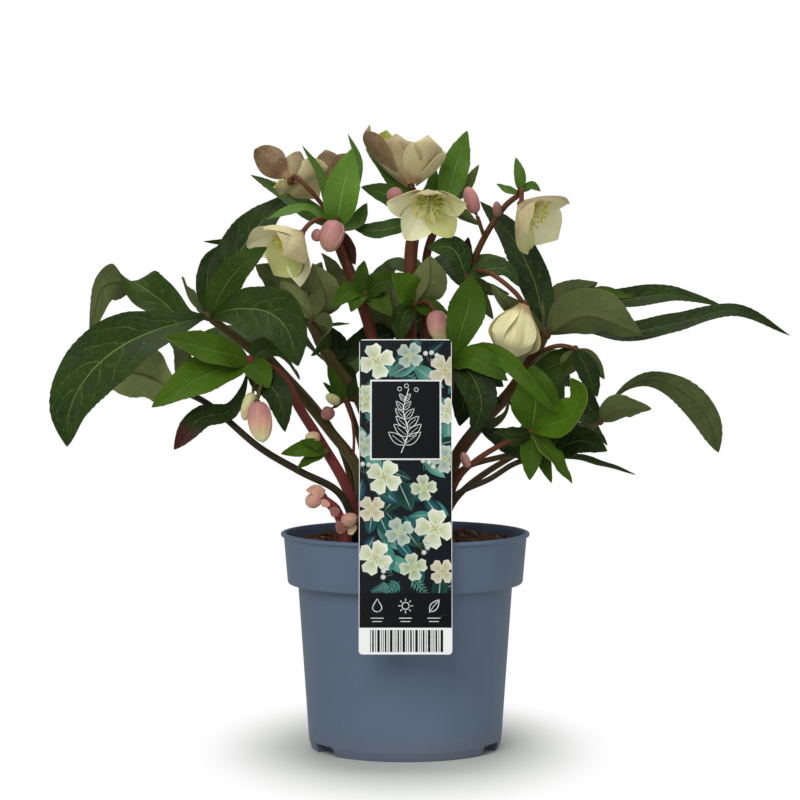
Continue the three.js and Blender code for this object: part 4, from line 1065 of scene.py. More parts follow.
def loop(place, radius):
    """Places on a circle that stops just short of closing."""
    angle = np.radians(np.linspace(0, 352, 17))
    return np.array(place) + radius * np.column_stack([np.cos(angle), np.sin(angle)])


def outline_of(shape, angle, place, size, width, level):
    """A closed drawn outline."""
    line = turned(shape, angle, place, size)
    return stroke(np.vstack([line, line[:2]]), width, level)


# %% Panel with a sprig
left, right, foot, head = -23.3, 23.6, 127.3, 180.6
BORDER = 1.1
BORDER_INK, PANEL_INK = "#f2f4f4", "#0b0d10"
inks += [
    block(left, right, foot, head, PANEL_LEVEL, BORDER_INK),
    block(left + BORDER, right - BORDER, foot + BORDER, head - BORDER, PANEL_LEVEL + 0.05, PANEL_INK)]
middle = (left + right) / 2
stem_line, _ = smooth_route(
    [[middle - 3, 132, 0], [middle + 1.5, 145, 0], [middle - 1.5, 160, 0], [middle + 2, 175, 0]], 30)
stem_line = stem_line[:, :2]
inks.append(stroke(stem_line, 0.55, SIGN_LEVEL))
for k in range(6):
    joint = stem_line[4 + 4 * k]
    for lean in (38 + 3 * k, 142 - 3 * k):
        size = 13.5 - 1.5 * k
        rib = turned([[0.1, 0], [0.4, 0.01], [0.75, 0]], lean, joint, size)
        inks += [outline_of(lens(0.44, 14), lean, joint, size, 0.42, SIGN_LEVEL + 0.01),
                 stroke(rib, 0.28, SIGN_LEVEL + 0.02)]
for across, up in ((-4, 176), (0.5, 178), (7, 175.5)):
    inks.append(stroke(loop((middle + across, up - 1.5), 1.3), 0.4, SIGN_LEVEL + 0.02))
print("drawn shapes with the panel:", len(inks))

# %% Care signs and bars
BAND_LEVEL, BAND_LINE = SIGN_LEVEL - 0.4, 0.55
SIGN_ROW, SIGN_SPOTS = 31.6, (-18.5, 0.0, 18.5)
inks.append(block(-half, half, BAND_FOOT, BAND_HEAD, GROUND + 0.02, PANEL_INK))
for spot in SIGN_SPOTS:
    for row, reach in ((23.6, 4.3), (21.4, 3.2)):
        dash = [[spot - reach, row], [spot, row], [spot + reach, row]]
        inks.append(stroke(dash, 0.5, BAND_LEVEL))
drop = np.array([[0, -1.0], [0.5, -0.86], [0.78, -0.45], [0.7, 0.0], [0.35, 0.6], [0, 1.2],
                 [-0.35, 0.6], [-0.7, 0.0], [-0.78, -0.45], [-0.5, -0.86]])
inks += [outline_of(drop, 0, (SIGN_SPOTS[0], SIGN_ROW), 3.9, BAND_LINE, BAND_LEVEL),
         stroke(loop((SIGN_SPOTS[1], SIGN_ROW), 2.3), BAND_LINE, BAND_LEVEL)]
for k in range(8):
    ray = turned([[3.2, 0], [4.0, 0], [4.8, 0]], 45 * k, (SIGN_SPOTS[1], SIGN_ROW), 1)
    inks.append(stroke(ray, BAND_LINE, BAND_LEVEL))
leaf_foot, leaf_lean, leaf_size = (16.0, SIGN_ROW - 3.6), 52, 9.6
midrib = turned([[-0.1, 0], [0.4, 0.02], [0.85, 0]], leaf_lean, leaf_foot, leaf_size)
inks += [outline_of(lens(0.5, 14), leaf_lean, leaf_foot, leaf_size, BAND_LINE, BAND_LEVEL),
         stroke(midrib, 0.45, BAND_LEVEL + 0.02)]

BAR_FOOT, BAR_HEAD, BARS_START, BARS_END, BAR_GAP = 1.6, 15.9, -23.0, 24.4, 0.75
BAR_WIDTHS = (0.5, 1.1, 0.7, 1.7, 0.5)
BAR_INKS = ("#15171a", "#15171a", "#8b9096", "#15171a", "#6d7278")
reach, bars = BARS_START, 0
while reach < BARS_END:
    width = BAR_WIDTHS[bars % 5]
    inks.append(block(reach, reach + width, BAR_FOOT, BAR_HEAD, GROUND, BAR_INKS[bars % 5]))
    reach, bars = reach + width + BAR_GAP, bars + 1
piece("label_print", inks, [label_print], "label", "plant_label")
print("ink shapes:", len(inks), "bars:", bars)

# %% [markdown]
# ## Canes and stalks
# A hellebore's canes are thick and a little uneven, swollen where a leaf once grew, and they taper
# upward. Each is a tube along a smooth route whose rings are pushed out of round, so that it catches
# the light like something grown. The stalks of leaves and flowers are made the same way, only thinner.

# %% Stalk maker
FRONT, BACK = (0, -0.86, 0.5), (0, 0.86, 0.5)
UP, RIGHT = (0, -0.35, 0.94), (0.62, -0.62, 0.48)
STALK_STEP, STALK_SIDES = 3.0, 14
JOINT_SWELL, JOINT_LENGTH = 0.16, 3.2


def stalk(points, start_r, end_r, tone, joints=0):
    """A grown tube that tapers from one radius to the other, with a few swollen joints."""
    length = np.linalg.norm(np.diff(points, axis=0), axis=1).sum()
    rows = max(6, round(length / STALK_STEP))
    t = np.linspace(0, 1, rows + 1)[:, None]
    angle = np.linspace(0, 2 * math.pi, STALK_SIDES, endpoint=False)[None, :]
    radius = start_r + (end_r - start_r) * t
    for k in range(joints):
        from_joint = (t - (k + 0.7) / (joints + 0.6)) * length
        radius = radius * (1 + JOINT_SWELL * np.exp(-(from_joint / JOINT_LENGTH)**2))
    turn = chance.uniform(0, 2 * math.pi)
    uneven = 0.035 * np.cos(3 * angle + turn + 4 * t) + 0.025 * np.cos(angle - 9 * t + turn)
    radius = radius * (1 + uneven)
    ends = np.clip(np.minimum(t, 1 - t) * length / (0.8 * start_r), 0, 1)
    radius = radius * np.sqrt(ends * (2 - ends)).clip(0.15, 1)
    return swept(points, rows, FRONT, radius, STALK_SIDES, tone=tone)


def lump(place, radius, tone, way):
    """A small swollen knot where leaves or a flower join their stalk."""
    way = unit(way) * radius * 1.05
    round_off = radius * np.sqrt(1 - (np.linspace(-1, 1, 9) * 0.985)**2)
    return swept([place - way, place, place + way], 8, (0.3, -0.8, 0.4), round_off, 12, tone=tone)


def placed_route(points):
    """Points of the elevation, each slid to its depth."""
    return np.array([at(point) for point in points])

# %% Canes
STEMS = {
    "stem_left": dict(
        points=[
            [-17, 118, -10], [-18, 160, -12], [-20, 210, -10], [-33, 241, -6], [-57, 275, -3],
            [-66, 300, 0],
        ],
        start_r=4.8, end_r=3.6, bark=0.35,
    ),
    "stem_tall_left": dict(
        points=[[-7, 118, 10], [-12, 220, 6], [-22, 278, 2], [-31, 308, 0], [-49, 353, 2]],
        start_r=5, end_r=3.6, bark=0.8,
    ),
    "stem_centre": dict(
        points=[[0, 118, -6], [3, 237, -4], [3, 306, -2], [5, 346, 0], [9, 362, 2]],
        start_r=5.4, end_r=4.4, bark=0.8,
    ),
    "stem_centre_rear": dict(
        points=[[10, 118, 12], [12, 237, 12], [14, 306, 12], [15, 338, 12], [26, 368, 16]],
        start_r=4.4, end_r=2.6, bark=0.7,
    ),
    "stem_right": dict(
        points=[
            [15, 118, -3], [24, 203, 0], [34, 272, 2], [42, 319, 0], [52, 345, -2], [68, 370, -4],
            [78, 378, -6],
        ],
        start_r=3.8, end_r=1.9, bark=0.65,
    ),
    "shoot_front": dict(
        points=[[-40, 118, -60], [-42, 150, -62], [-48, 163, -63], [-57, 171, -64]],
        start_r=4.2, end_r=3, bark=1.0,
    ),
}

for name, cane in STEMS.items():
    route = placed_route(cane["points"])
    joints = 4 if cane["start_r"] > 4 else 2
    grown = [stalk(route, cane["start_r"], cane["end_r"], cane["bark"], joints)]
    grown.append(lump(route[-1], cane["end_r"] + 0.8, cane["bark"], route[-1] - route[-2]))
    piece(name + "_cane", grown, [cane_bark], "stem", name)
print("canes:", len(STEMS))

# %% [markdown]
# ## Leaves
# A hellebore leaf is a hand of leathery leaflets that spread from the end of one stalk. A leaflet is
# folded along its midrib like a shallow gutter, its edges wave and carry small forward teeth, it
# swells between its side veins, and its midrib stands out underneath. All of that is geometry, on a
# grid whose columns crowd at the midrib. Each row follows a frame along the leaflet's curve, so a
# leaflet can droop, arch or turn over and show its pale side.

# %% Leaflet maker
ACROSS = np.array([-1, -0.86, -0.66, -0.46, -0.27, -0.1, 0, 0.1, 0.27, 0.46, 0.66, 0.86, 1.0])
BLADE_SETBACK = 1.2
TOOTH_PITCH, TOOTH_SIZE = 4.8, 0.55
TOOTH_SAW = np.array([0.0, 0.45, 1.0])
FOLD, EDGE_WAVE, PUCKER = 0.22, 0.11, -0.072


def leaflet(palm, points, width, face, tone, twist=0.0, fullest=0.42, scorch=0.0):
    """One leaflet from the palm through the given points, with its upper side to face. It is
    fullest at that share of its length, and is scorched from its tip by the given share."""
    way = np.subtract(points[0], palm)
    base = np.add(palm, way / np.linalg.norm(way) * BLADE_SETBACK)
    route = placed_route([base, *points])
    length = np.linalg.norm(np.diff(route, axis=0), axis=1).sum()
    teeth = max(6, round(length / TOOTH_PITCH))
    rows = 3 * teeth
    t, u = np.linspace(0, 1, rows + 1)[:, None], ACROSS[None, :]
    side_of = np.abs(u)
    shape = np.sin(math.pi * t**(math.log(0.5) / math.log(fullest))).clip(0)**0.8
    half = width / 2 * np.maximum(shape, np.where(t < 0.5, 0.11, 0.012))
    left_phase, right_phase = chance.uniform(0, 6.3), chance.uniform(0, 6.3)
    cycles = chance.uniform(1.6, 2.6)
    phase = np.where(u < 0, left_phase, right_phase)
    saw = TOOTH_SAW[np.arange(rows + 1) % 3][:, None]
    uneven = 0.5 + 0.5 * np.sin(13 * cycles * t + 2 * phase)
    tooth = TOOTH_SIZE * min(1, width / 22) * saw * uneven
    tooth = tooth * np.clip(4 * t - 0.9, 0, 1) * np.clip(9 - 9 * t, 0, 1)
    reach = u * half + np.where(side_of == 1, np.sign(u) * tooth, 0)
    wave = EDGE_WAVE * half * side_of**2 * np.sin(2 * math.pi * cycles * t + phase)
    from_vein = np.cos(2 * math.pi * (t * PAIRS - side_of**1.25 * SLANT))
    pillow = PUCKER * half * from_vein * side_of * (1.2 - side_of)
    gutter = FOLD * chance.uniform(0.8, 1.2) * half * side_of**1.15
    at_midrib = u == 0
    groove = -0.4 * (1 - 0.7 * t) * at_midrib * min(1, width / 20)
    rib = (1.25 - 0.95 * t) * at_midrib * min(1, width / 26)
    thick = (0.5 - 0.2 * side_of) * (1.15 - 0.5 * t)
    return blade(framed_route(route, rows, face, twist), reach, gutter + wave + pillow,
                 groove + thick, rib + thick, tone=tone, scorch=scorch, stretch=ACROSS)

# %% [markdown]
# ## Leaf layout
# A leaf has a palm, where its leaflets meet, and most have a stalk with its route, its two radii and
# the tone of its bark. A blade is the points it runs through from the palm, its width, where its
# upper face looks, its tone, and last what is special about it, if anything is.

# %% Leaves on the left
LEAVES = {
    "leaf_left_high": dict(
        stalk=[
            [-28, 118, -22], [-30, 160, -23], [-33, 191, -24], [-51, 216, -22], [-78, 248, -22],
            [-106, 273, -26],
        ],
        palm=[-134, 295, -30], start_r=4.2, end_r=2.8, bark=0.35,
        blades=[
            ([[-152, 291, -42], [-174, 284, -55], [-196, 273, -68], [-216, 255, -80],
              [-229, 231, -90], [-231, 206, -98]], 42, FRONT, 0.18, dict(fullest=0.55)),
            ([[-150, 293, -16], [-169, 308, 0], [-189, 319, 14], [-205, 315, 22], [-211, 299, 26],
              [-215, 280, 28]], 28, FRONT, 0.3, dict(twist=165, fullest=0.5)),
            ([[-113, 300, -60], [-92, 297, -78], [-80, 285, -90], [-73, 261, -96]],
              36, FRONT, 0.18, dict(fullest=0.55)),
            ([[-135, 316, -24], [-133, 332, -20], [-125, 344, -16]], 15, FRONT, 0.1),
            ([[-125, 316, -14], [-114, 336, 0], [-98, 359, 20], [-77, 379, 40]], 31, FRONT, 0.12),
            ([[-121, 318, -38], [-109, 332, -42], [-94, 342, -42]], 22, FRONT, 0.35),
            ([[-146, 306, -6], [-152, 322, 10]], 19, BACK, 0.35),
            ([[-119, 304, -10], [-104, 311, 0]], 15, BACK, 0.3),
            ([[-115, 327, 26], [-117, 344, 38], [-137, 346, 44]], 14, BACK, 0.25),
        ],
    ),
    "leaf_left_bright": dict(
        stalk=[
            [-31, 118, -36], [-33, 150, -37], [-39, 176, -40], [-58, 210, -42], [-72, 232, -44],
            [-86, 256, -48],
        ],
        palm=[-106, 265, -52], start_r=4.2, end_r=2.8, bark=0.95,
        blades=[
            ([[-132, 272, -72], [-164, 281, -90]], 24, FRONT, 0.72),
            ([[-140, 253, -76], [-173, 233, -94]], 27, FRONT, 0.85),
            ([[-99, 256, -64], [-93, 246, -72]], 18, FRONT, 0.75),
            ([[-96, 272, -42], [-82, 266, -28], [-72, 252, -16]], 22, FRONT, 0.3),
            ([[-98, 253, -62], [-87, 241, -72], [-82, 216, -76]], 20, FRONT, 0.05),
            ([[-111, 244, -58], [-120, 230, -62], [-140, 225, -70], [-158, 204, -76]],
              16, FRONT, 0.12, dict(fullest=0.68, scorch=0.25)),
        ],
    ),
    "leaf_left_low": dict(
        stalk=[
            [-33, 118, -50], [-35, 150, -51], [-45, 174, -54], [-72, 189, -56], [-99, 205, -56],
            [-136, 236, -54],
        ],
        palm=[-155, 245, -52], start_r=2.7, end_r=2.1, bark=0.05,
        blades=[
            ([[-183, 256, -36], [-220, 254, -14]], 43, BACK, 0.9),
            ([[-148, 262, -34], [-165, 292, -14]], 22, BACK, 0.3),
        ],
    ),
    "leaf_stem_left": dict(
        palm=[-63, 293, -6],
        blades=[
            ([[-74, 306, -14], [-85, 319, -20]], 16, BACK, 0.95),
            ([[-54, 306, -18], [-63, 331, -28]], 22, BACK, 0.6),
            ([[-75, 309, 14], [-97, 331, 34]], 20, BACK, 0.45),
            ([[-52, 286, -18], [-64, 268, -32]], 20, BACK, 0.4),
            ([[-52, 289, -12], [-38, 290, -20]], 7, UP, 0.6),
            ([[-58, 306, 20], [-49, 330, 30]], 18, BACK, 0.45),
        ],
    ),
}
print("leaves on the left:", len(LEAVES))

# %% Leaves in the middle
LEAVES |= {
    "leaf_stem_centre": dict(
        palm=[-27, 310, -7],
        blades=[
            ([[-38, 312, -24], [-50, 301, -38]], 14, FRONT, 0.6),
            ([[-33, 309, -22], [-37, 298, -36]], 14, FRONT, 0.55),
            ([[-18, 305, -16], [-9, 295, -22]], 14, FRONT, 0.62),
            ([[-18, 317, -14], [-5, 322, -20]], 17, FRONT, 0.4),
            ([[-30, 320, -8], [-28, 333, -8]], 11, FRONT, 0.5),
            ([[-44, 318, 6], [-57, 338, 14]], 20, BACK, 0.4),
        ],
    ),
    "leaf_centre_bright": dict(
        palm=[6, 303, -7],
        blades=[
            ([[1, 314, -18], [-9, 324, -24]], 21, FRONT, 0.95),
            ([[16, 318, -16], [17, 336, -20]], 27, BACK, 0.6),
            ([[-1, 296, -14], [-4, 278, -16]], 16, FRONT, 0.25),
            ([[18, 300, -14], [30, 296, -16]], 13, FRONT, 0.5),
        ],
    ),
    "leaf_centre_low": dict(
        stalk=[[17, 118, -28], [19, 160, -30], [23, 215, -34]],
        palm=[31, 262, -38], start_r=2.2, end_r=1.9, bark=0.45,
        blades=[
            ([[37, 282, -42], [43, 302, -40], [45, 323, -38]], 25, FRONT, 0.6, dict(fullest=0.58)),
            ([[48, 266, -56], [70, 251, -64]], 18, FRONT, 0.7),
            ([[51, 271, -50], [66, 267, -60], [80, 254, -70], [92, 241, -73], [104, 228, -72]],
              12, FRONT, 0.8),
            ([[44, 256, -54], [52, 236, -60], [46, 214, -60]], 24, FRONT, 0.08),
            ([[46, 254, -38], [56, 240, -34], [66, 236, -30]], 16, FRONT, 0.08),
        ],
    ),
}
print("leaves so far:", len(LEAVES))

# %% Leaves on the right
LEAVES |= {
    "leaf_right_high": dict(
        stalk=[
            [22, 118, -16], [24, 160, -17], [34, 197, -18], [51, 221, -16], [72, 244, -15],
            [86, 266, -15],
        ],
        palm=[95, 283, -15], start_r=5, end_r=3.8, bark=0.5,
        blades=[
            ([[88, 318, 0], [71, 351, 18], [51, 373, 32]], 23, FRONT, 0.06),
            ([[78, 297, -26], [65, 308, -36], [58, 317, -38]], 13, BACK, 0.4),
            ([[108, 306, 2], [131, 318, 14]], 24, BACK, 0.25),
            ([[124, 296, -34], [161, 283, -44]], 40, BACK, 0.4, dict(fullest=0.5)),
            ([[120, 303, 10], [150, 306, 26], [181, 310, 36], [216, 302, 38]],
              18, FRONT, 0.15, dict(fullest=0.5)),
            ([[122, 288, -4], [150, 284, -8], [185, 290, -16], [225, 299, -22], [262, 282, -28]],
              16, FRONT, 0.12, dict(fullest=0.4)),
            ([[116, 297, -6], [133, 310, 4], [155, 308, 8]], 14, FRONT, 0.6),
        ],
    ),
    "leaf_right_hanging": dict(
        stalk=[[84, 264, -15], [95, 272, -26], [106, 275, -30]],
        palm=[116, 273, -32], start_r=1.7, end_r=1.5, bark=0.6,
        blades=[
            ([[124, 258, -36], [131, 240, -36]], 15, FRONT, 0.08),
            ([[112, 262, -26], [106, 253, -20]], 14, BACK, 0.5),
            ([[126, 266, -26], [136, 252, -20]], 10, BACK, 0.35),
            ([[105, 263, -24], [81, 253, -30]], 18, FRONT, 0.35),
        ],
    ),
    "leaf_right_low": dict(
        stalk=[[26, 118, -38], [27, 150, -39], [34, 180, -42], [44, 193, -44], [65, 207, -48]],
        palm=[86, 216, -52], start_r=2.1, end_r=1.8, bark=0.8,
        blades=[
            ([[89, 238, -58], [87, 262, -56]], 32, FRONT, 0.7),
            ([[96, 236, -50], [105, 260, -46]], 24, FRONT, 0.25),
            ([[98, 221, -62], [112, 226, -72], [119, 240, -74], [113, 253, -68]],
              26, FRONT, 0.9, dict(fullest=0.5)),
            ([[86, 200, -64], [85, 183, -72]], 15, FRONT, 0.6),
            ([[98, 202, -64], [114, 181, -70]], 18, RIGHT, 0.75),
            ([[93, 200, -56], [100, 181, -58]], 10, FRONT, 0.65),
            ([[79, 228, -46], [70, 238, -42]], 7, FRONT, 0.4),
            ([[74, 214, -62], [60, 216, -68]], 11, FRONT, 0.12),
        ],
    ),
    "leaf_right_far": dict(
        stalk=[[26, 118, -24], [28, 160, -25], [36, 188, -27], [73, 201, -26], [112, 211, -20]],
        palm=[133, 223, -18], start_r=2.1, end_r=1.8, bark=0.45,
        blades=[
            ([[147, 232, -30], [168, 232, -40]], 21, BACK, 0.4),
            ([[142, 238, -12], [153, 248, -6], [168, 252, 0], [189, 244, 4], [205, 227, 4],
              [214, 202, 0]], 20, BACK, 0.12, dict(fullest=0.72)),
            ([[124, 236, -12], [122, 252, -4]], 13, FRONT, 0.15),
        ],
    ),
    "leaf_right_edge": dict(
        stalk=[[14, 118, -44], [18, 150, -45], [32, 171, -46], [58, 184, -42], [76, 195, -38]],
        palm=[98, 200, -36], start_r=2.1, end_r=1.8, bark=0.1,
        blades=[
            ([[120, 210, -46], [138, 203, -54]], 20, FRONT, 0.08),
            ([[122, 197, -38], [157, 187, -44]], 9, UP, 0.2),
            ([[104, 211, -42], [112, 226, -42]], 14, FRONT, 0.08, dict(scorch=0.2)),
            ([[88, 208, -28], [82, 220, -20]], 12, FRONT, 0.08),
        ],
    ),
}
print("leaves so far:", len(LEAVES))

# %% Inner leaves
LEAVES |= {
    "leaf_inner_left": dict(
        stalk=[[-16, 118, 38], [-34, 220, 42]],
        palm=[-72, 303, 38], start_r=2.4, end_r=1.9, bark=0.4,
        blades=[
            ([[-83, 315, 42], [-102, 330, 48]], 24, BACK, 0.45),
            ([[-85, 300, 42], [-111, 306, 48]], 16, BACK, 0.25),
            ([[-64, 315, 40], [-57, 332, 44]], 18, BACK, 0.4),
            ([[-62, 293, 34], [-57, 276, 30]], 18, BACK, 0.35),
            ([[-79, 289, 40], [-94, 275, 44]], 18, FRONT, 0.08),
        ],
    ),
    "leaf_inner_centre": dict(
        stalk=[[0, 118, 22], [-4, 210, 27]],
        palm=[-5, 284, 27], start_r=2.2, end_r=1.9, bark=0.6,
        blades=[
            ([[-17, 292, 30], [-32, 306, 32]], 24, BACK, 0.35),
            ([[-21, 280, 26], [-40, 276, 24]], 20, FRONT, 0.06),
            ([[-9, 306, 34], [-13, 332, 36]], 20, BACK, 0.45),
            ([[10, 293, 30], [24, 303, 28]], 20, FRONT, 0.08),
            ([[13, 280, 26], [29, 275, 22]], 16, FRONT, 0.08),
        ],
    ),
    "leaf_inner_low": dict(
        palm=[-48, 263, -4],
        blades=[
            ([[-46, 274, 5], [-51, 288, 9]], 14, FRONT, 0.05),
            ([[-38, 270, 6], [-33, 284, 10]], 14, FRONT, 0.08),
            ([[-40, 254, -2], [-38, 240, -4]], 13, FRONT, 0.05),
        ],
    ),
    "leaf_side_left": dict(
        stalk=[[-36, 195, -25], [-35, 212, -28], [-37, 228, -28]],
        palm=[-40, 238, -27], start_r=1, end_r=0.9, bark=0.9,
        blades=[
            ([[-47, 248, -30], [-53, 262, -32]], 9, FRONT, 0.6),
            ([[-50, 244, -32], [-56, 250, -32]], 6, FRONT, 0.45),
            ([[-36, 245, -28], [-34, 253, -30]], 8, FRONT, 0.12),
        ],
    ),
    "leaf_inner_right": dict(
        palm=[37, 268, 4],
        blades=[
            ([[50, 259, 9], [67, 247, 14]], 18, FRONT, 0.05),
            ([[41, 246, 9], [37, 220, 12]], 22, FRONT, 0.04),
            ([[52, 247, 13], [56, 221, 17]], 18, FRONT, 0.08),
            ([[51, 270, 10], [65, 275, 16]], 14, FRONT, 0.08),
        ],
    ),
    "leaf_cane_right": dict(
        palm=[50, 218, -22],
        blades=[
            ([[65, 212, -34], [87, 196, -44]], 16, FRONT, 0.08, dict(fullest=0.55)),
            ([[60, 221, -16], [69, 229, -10], [71, 239, -8]], 7, BACK, 0.12),
        ],
    ),
    "leaf_low_bright": dict(
        palm=[-54, 202, -48],
        blades=[
            ([[-66, 204, -58], [-85, 201, -68]], 12, FRONT, 0.75),
            ([[-64, 198, -58], [-74, 191, -64]], 8, FRONT, 0.7),
            ([[-63, 208, -56], [-72, 210, -60]], 7, FRONT, 0.65),
        ],
    ),
}
print("leaves so far:", len(LEAVES))

# %% Leaves on the far side
# Root, middle of the stalk, palm, length of the middle blade, and the way it points in degrees.
REAR_LEAVES = {
    "leaf_rear_left": ([-26, 118, 24], [-46, 210, 50], [-98, 274, 70], 62, 125),
    "leaf_rear_centre": ([-10, 118, 34], [-10, 200, 62], [-6, 256, 88], 60, 90),
    "leaf_rear_tall": ([4, 118, 26], [8, 230, 34], [10, 322, 46], 50, 75),
    "leaf_rear_low": ([-8, 118, 50], [-4, 160, 66], [2, 192, 96], 50, 95),
    "leaf_rear_right": ([18, 118, 30], [40, 205, 52], [80, 256, 74], 60, 60),
    "leaf_rear_right_low": ([22, 118, 26], [33, 168, 38], [100, 216, 52], 44, 45),
}
print("leaves laid out:", len(LEAVES) + len(REAR_LEAVES))

# %% Grow the leaves
def hand(palm, blades):
    """The leaflets of one leaf or tuft of bracts. A blade's last value may hold what is special."""
    return [leaflet(palm, points, width, face, tone, **(special[0] if special else {}))
            for points, width, face, tone, *special in blades]


def grow(name, spec, faces, slot):
    """A leaf or tuft: its leaflets as one piece, and its stalk and knot as another."""
    end_r, bark = spec.get("end_r", 2.0), spec.get("bark", 0.5)
    piece(name + "_blades", hand(spec["palm"], spec["blades"]), faces, slot, name)
    palm = at(spec["palm"])
    held = [lump(palm, end_r + 0.7, bark, at(spec["blades"][0][0][0]) - palm)]
    if "stalk" in spec:
        route = placed_route([*spec["stalk"], spec["palm"]])
        held.append(stalk(route, spec.get("start_r", 2.0), end_r, bark))
    piece(name + "_stalk", held, [cane_bark], "stem", name)


REAR_FAN = (-104, -52, 0, 52, 104)


def rear_leaf(root, via, palm, reach, turn):
    """A leaf on the far side: arching leaflets fanned around the way its middle one points."""
    x, z, depth = palm
    blades = []
    for k, offset in enumerate(REAR_FAN):
        heading, length = math.radians(turn + offset), reach * (1 - abs(offset) / 400)
        along, away = math.cos(heading) * length, math.sin(heading) * length
        points = [[x + along * share, z + rise, depth + away * share]
                  for share, rise in ((0.5, 7 + 2 * (k % 2)), (1.0, -9))]
        blades.append((points, reach * 0.38, UP, 0.12 + 0.08 * k))
    return dict(stalk=[root, via], palm=palm, start_r=2.6, end_r=2.0, bark=0.4, blades=blades)


for name, spec in LEAVES.items():
    grow(name, spec, [leaf_upper, leaf_under], "leaf")
for name, spec in REAR_LEAVES.items():
    grow(name, rear_leaf(*spec), [leaf_upper, leaf_under], "leaf")
print("leaves grown:", len(LEAVES) + len(REAR_LEAVES))

# %% [markdown]
# ## Bracts
# Around the flowers grow bracts: small leaves of a fresher green, thinner and without teeth to speak
# of. They are made as leaflets are, with their own finish.

# %% Tufts of bracts
BRACTS = {
    "bracts_tall_left": dict(
        palm=[-47, 354, -5],
        blades=[
            ([[-43, 378, -14], [-36, 409, -14]], 24, FRONT, 0.8),
            ([[-68, 368, -10], [-94, 361, -22]], 12, UP, 0.65),
            ([[-33, 360, 2], [-26, 372, 6]], 12, FRONT, 0.5),
            ([[-52, 372, 4], [-58, 392, 6], [-70, 411, 6]], 7, FRONT, 0.55),
            ([[-68, 368, 24], [-89, 382, 32], [-105, 391, 34]], 14, FRONT, 0.25),
            ([[-36, 381, 8], [-32, 400, 14], [-39, 419, 18]], 8, FRONT, 0.6),
            ([[-40, 342, 0], [-34, 330, -4]], 11, BACK, 0.3, dict(scorch=1)),
        ],
    ),
    "bracts_centre": dict(
        palm=[6, 360, 6],
        blades=[
            ([[-3, 382, 16], [-14, 396, 26], [-27, 409, 32]], 14, FRONT, 0.6),
            ([[-10, 376, 2], [-30, 383, -4]], 16, FRONT, 0.25),
            ([[18, 380, 26], [20, 398, 30]], 13, FRONT, 0.5),
            ([[-9, 355, 2], [-23, 353, 4], [-38, 357, 6]], 13, FRONT, 0.2),
        ],
    ),
    "bracts_centre_right": dict(
        palm=[27, 370, 18],
        blades=[
            ([[35, 399, 20], [42, 421, 16]], 20, FRONT, 0.7),
            ([[42, 384, 22], [50, 398, 22]], 10, BACK, 0.5),
            ([[36, 366, 26], [50, 357, 28]], 9, BACK, 0.3),
        ],
    ),
    "bracts_mid_right": dict(
        palm=[42, 322, -5],
        blades=[
            ([[32, 341, -12], [15, 342, -18]], 18, FRONT, 0.1),
            ([[52, 326, -12], [68, 327, -16], [78, 315, -18]], 13, FRONT, 0.1),
            ([[54, 314, 4], [71, 310, 6]], 10, BACK, 0.2),
            ([[50, 332, 2], [69, 334, 4]], 9, BACK, 0.3),
            ([[48, 311, 6], [60, 293, 10]], 12, BACK, 0.15),
            ([[41, 336, -2], [43, 349, -4]], 10, BACK, 0.2, dict(scorch=1)),
        ],
    ),
    "bracts_right": dict(
        palm=[78, 379, -7],
        blades=[
            ([[78, 390, -10], [75, 403, -10]], 8, FRONT, 0.6),
            ([[86, 384, -10], [92, 380, -14]], 6, FRONT, 0.5),
            ([[69, 381, -10], [62, 385, -12]], 6, FRONT, 0.6),
        ],
    ),
}

for name, spec in BRACTS.items():
    grow(name, spec, [bract_upper, bract_under], "bract")
print("tufts of bracts:", len(BRACTS))

# %% [markdown]
# ## Flowers
# What look like petals are five broad sepals that overlap around a ring of small green funnels, a
# brush of stamens and a few pale styles. A sepal leaves the heart outward and rises as the flower
# closes, so one number takes a flower from flat to bell. Its edge is cupped and a little wavy. The
# stamens are spread by the golden angle, as seeds are in a flower head, so none line up.

# %% Petal maker
GOLDEN_ANGLE = math.pi * (3 - math.sqrt(5))
PETAL_ROWS = 22
PETAL_ACROSS = np.linspace(-1, 1, 15)


def turned_about(vector, axis, angle):
    """A vector turned about an axis that it is square to."""
    return vector * math.cos(angle) + np.cross(axis, vector) * math.sin(angle)


def petal(centre, axis, out, radius, bell, tones, order):
    """A broad sepal from the heart of a flower outward, cupped towards the flower's axis."""
    lift = (0, 0.12 + 0.22 * bell, 0.24 + 0.5 * bell, 0.16 + 0.84 * bell)
    spread = (0.1, 0.44 - 0.1 * bell, 0.76 - 0.28 * bell, 1 - 0.72 * bell)
    route = [centre + axis * up * radius + out * away * radius for up, away in zip(lift, spread)]
    t, u = np.linspace(0, 1, PETAL_ROWS + 1)[:, None], PETAL_ACROSS[None, :]
    shape = np.sin(math.pi * t.clip(0.001, 0.999)**1.12)**0.62 * (1 - 0.35 * t**5)
    half = radius * (0.29 + 0.15 * bell) * np.maximum(shape, np.where(t < 0.5, 0.22, 0.03))
    phase, lean = chance.uniform(0, 6.3), chance.uniform(-0.08, 0.08)
    ripple = 0.07 * half * np.abs(u)**3 * np.sin(7 * t + phase + 2 * u)
    cup = (0.42 - 0.16 * t) * half * np.abs(u)**1.9 + lean * half * u + ripple
    crease = -0.04 * half * np.exp(-(u / 0.12)**2)
    shingle = 0.012 * radius * (order % 2)
    thick = 0.28 - 0.1 * np.abs(u)
    made = blade(framed_route(route, PETAL_ROWS, axis), u * half, cup + crease + shingle,
                 thick, thick, stretch=PETAL_ACROSS)
    made["tone"] = np.repeat(tones, len(made["points"]) // 2)
    return made

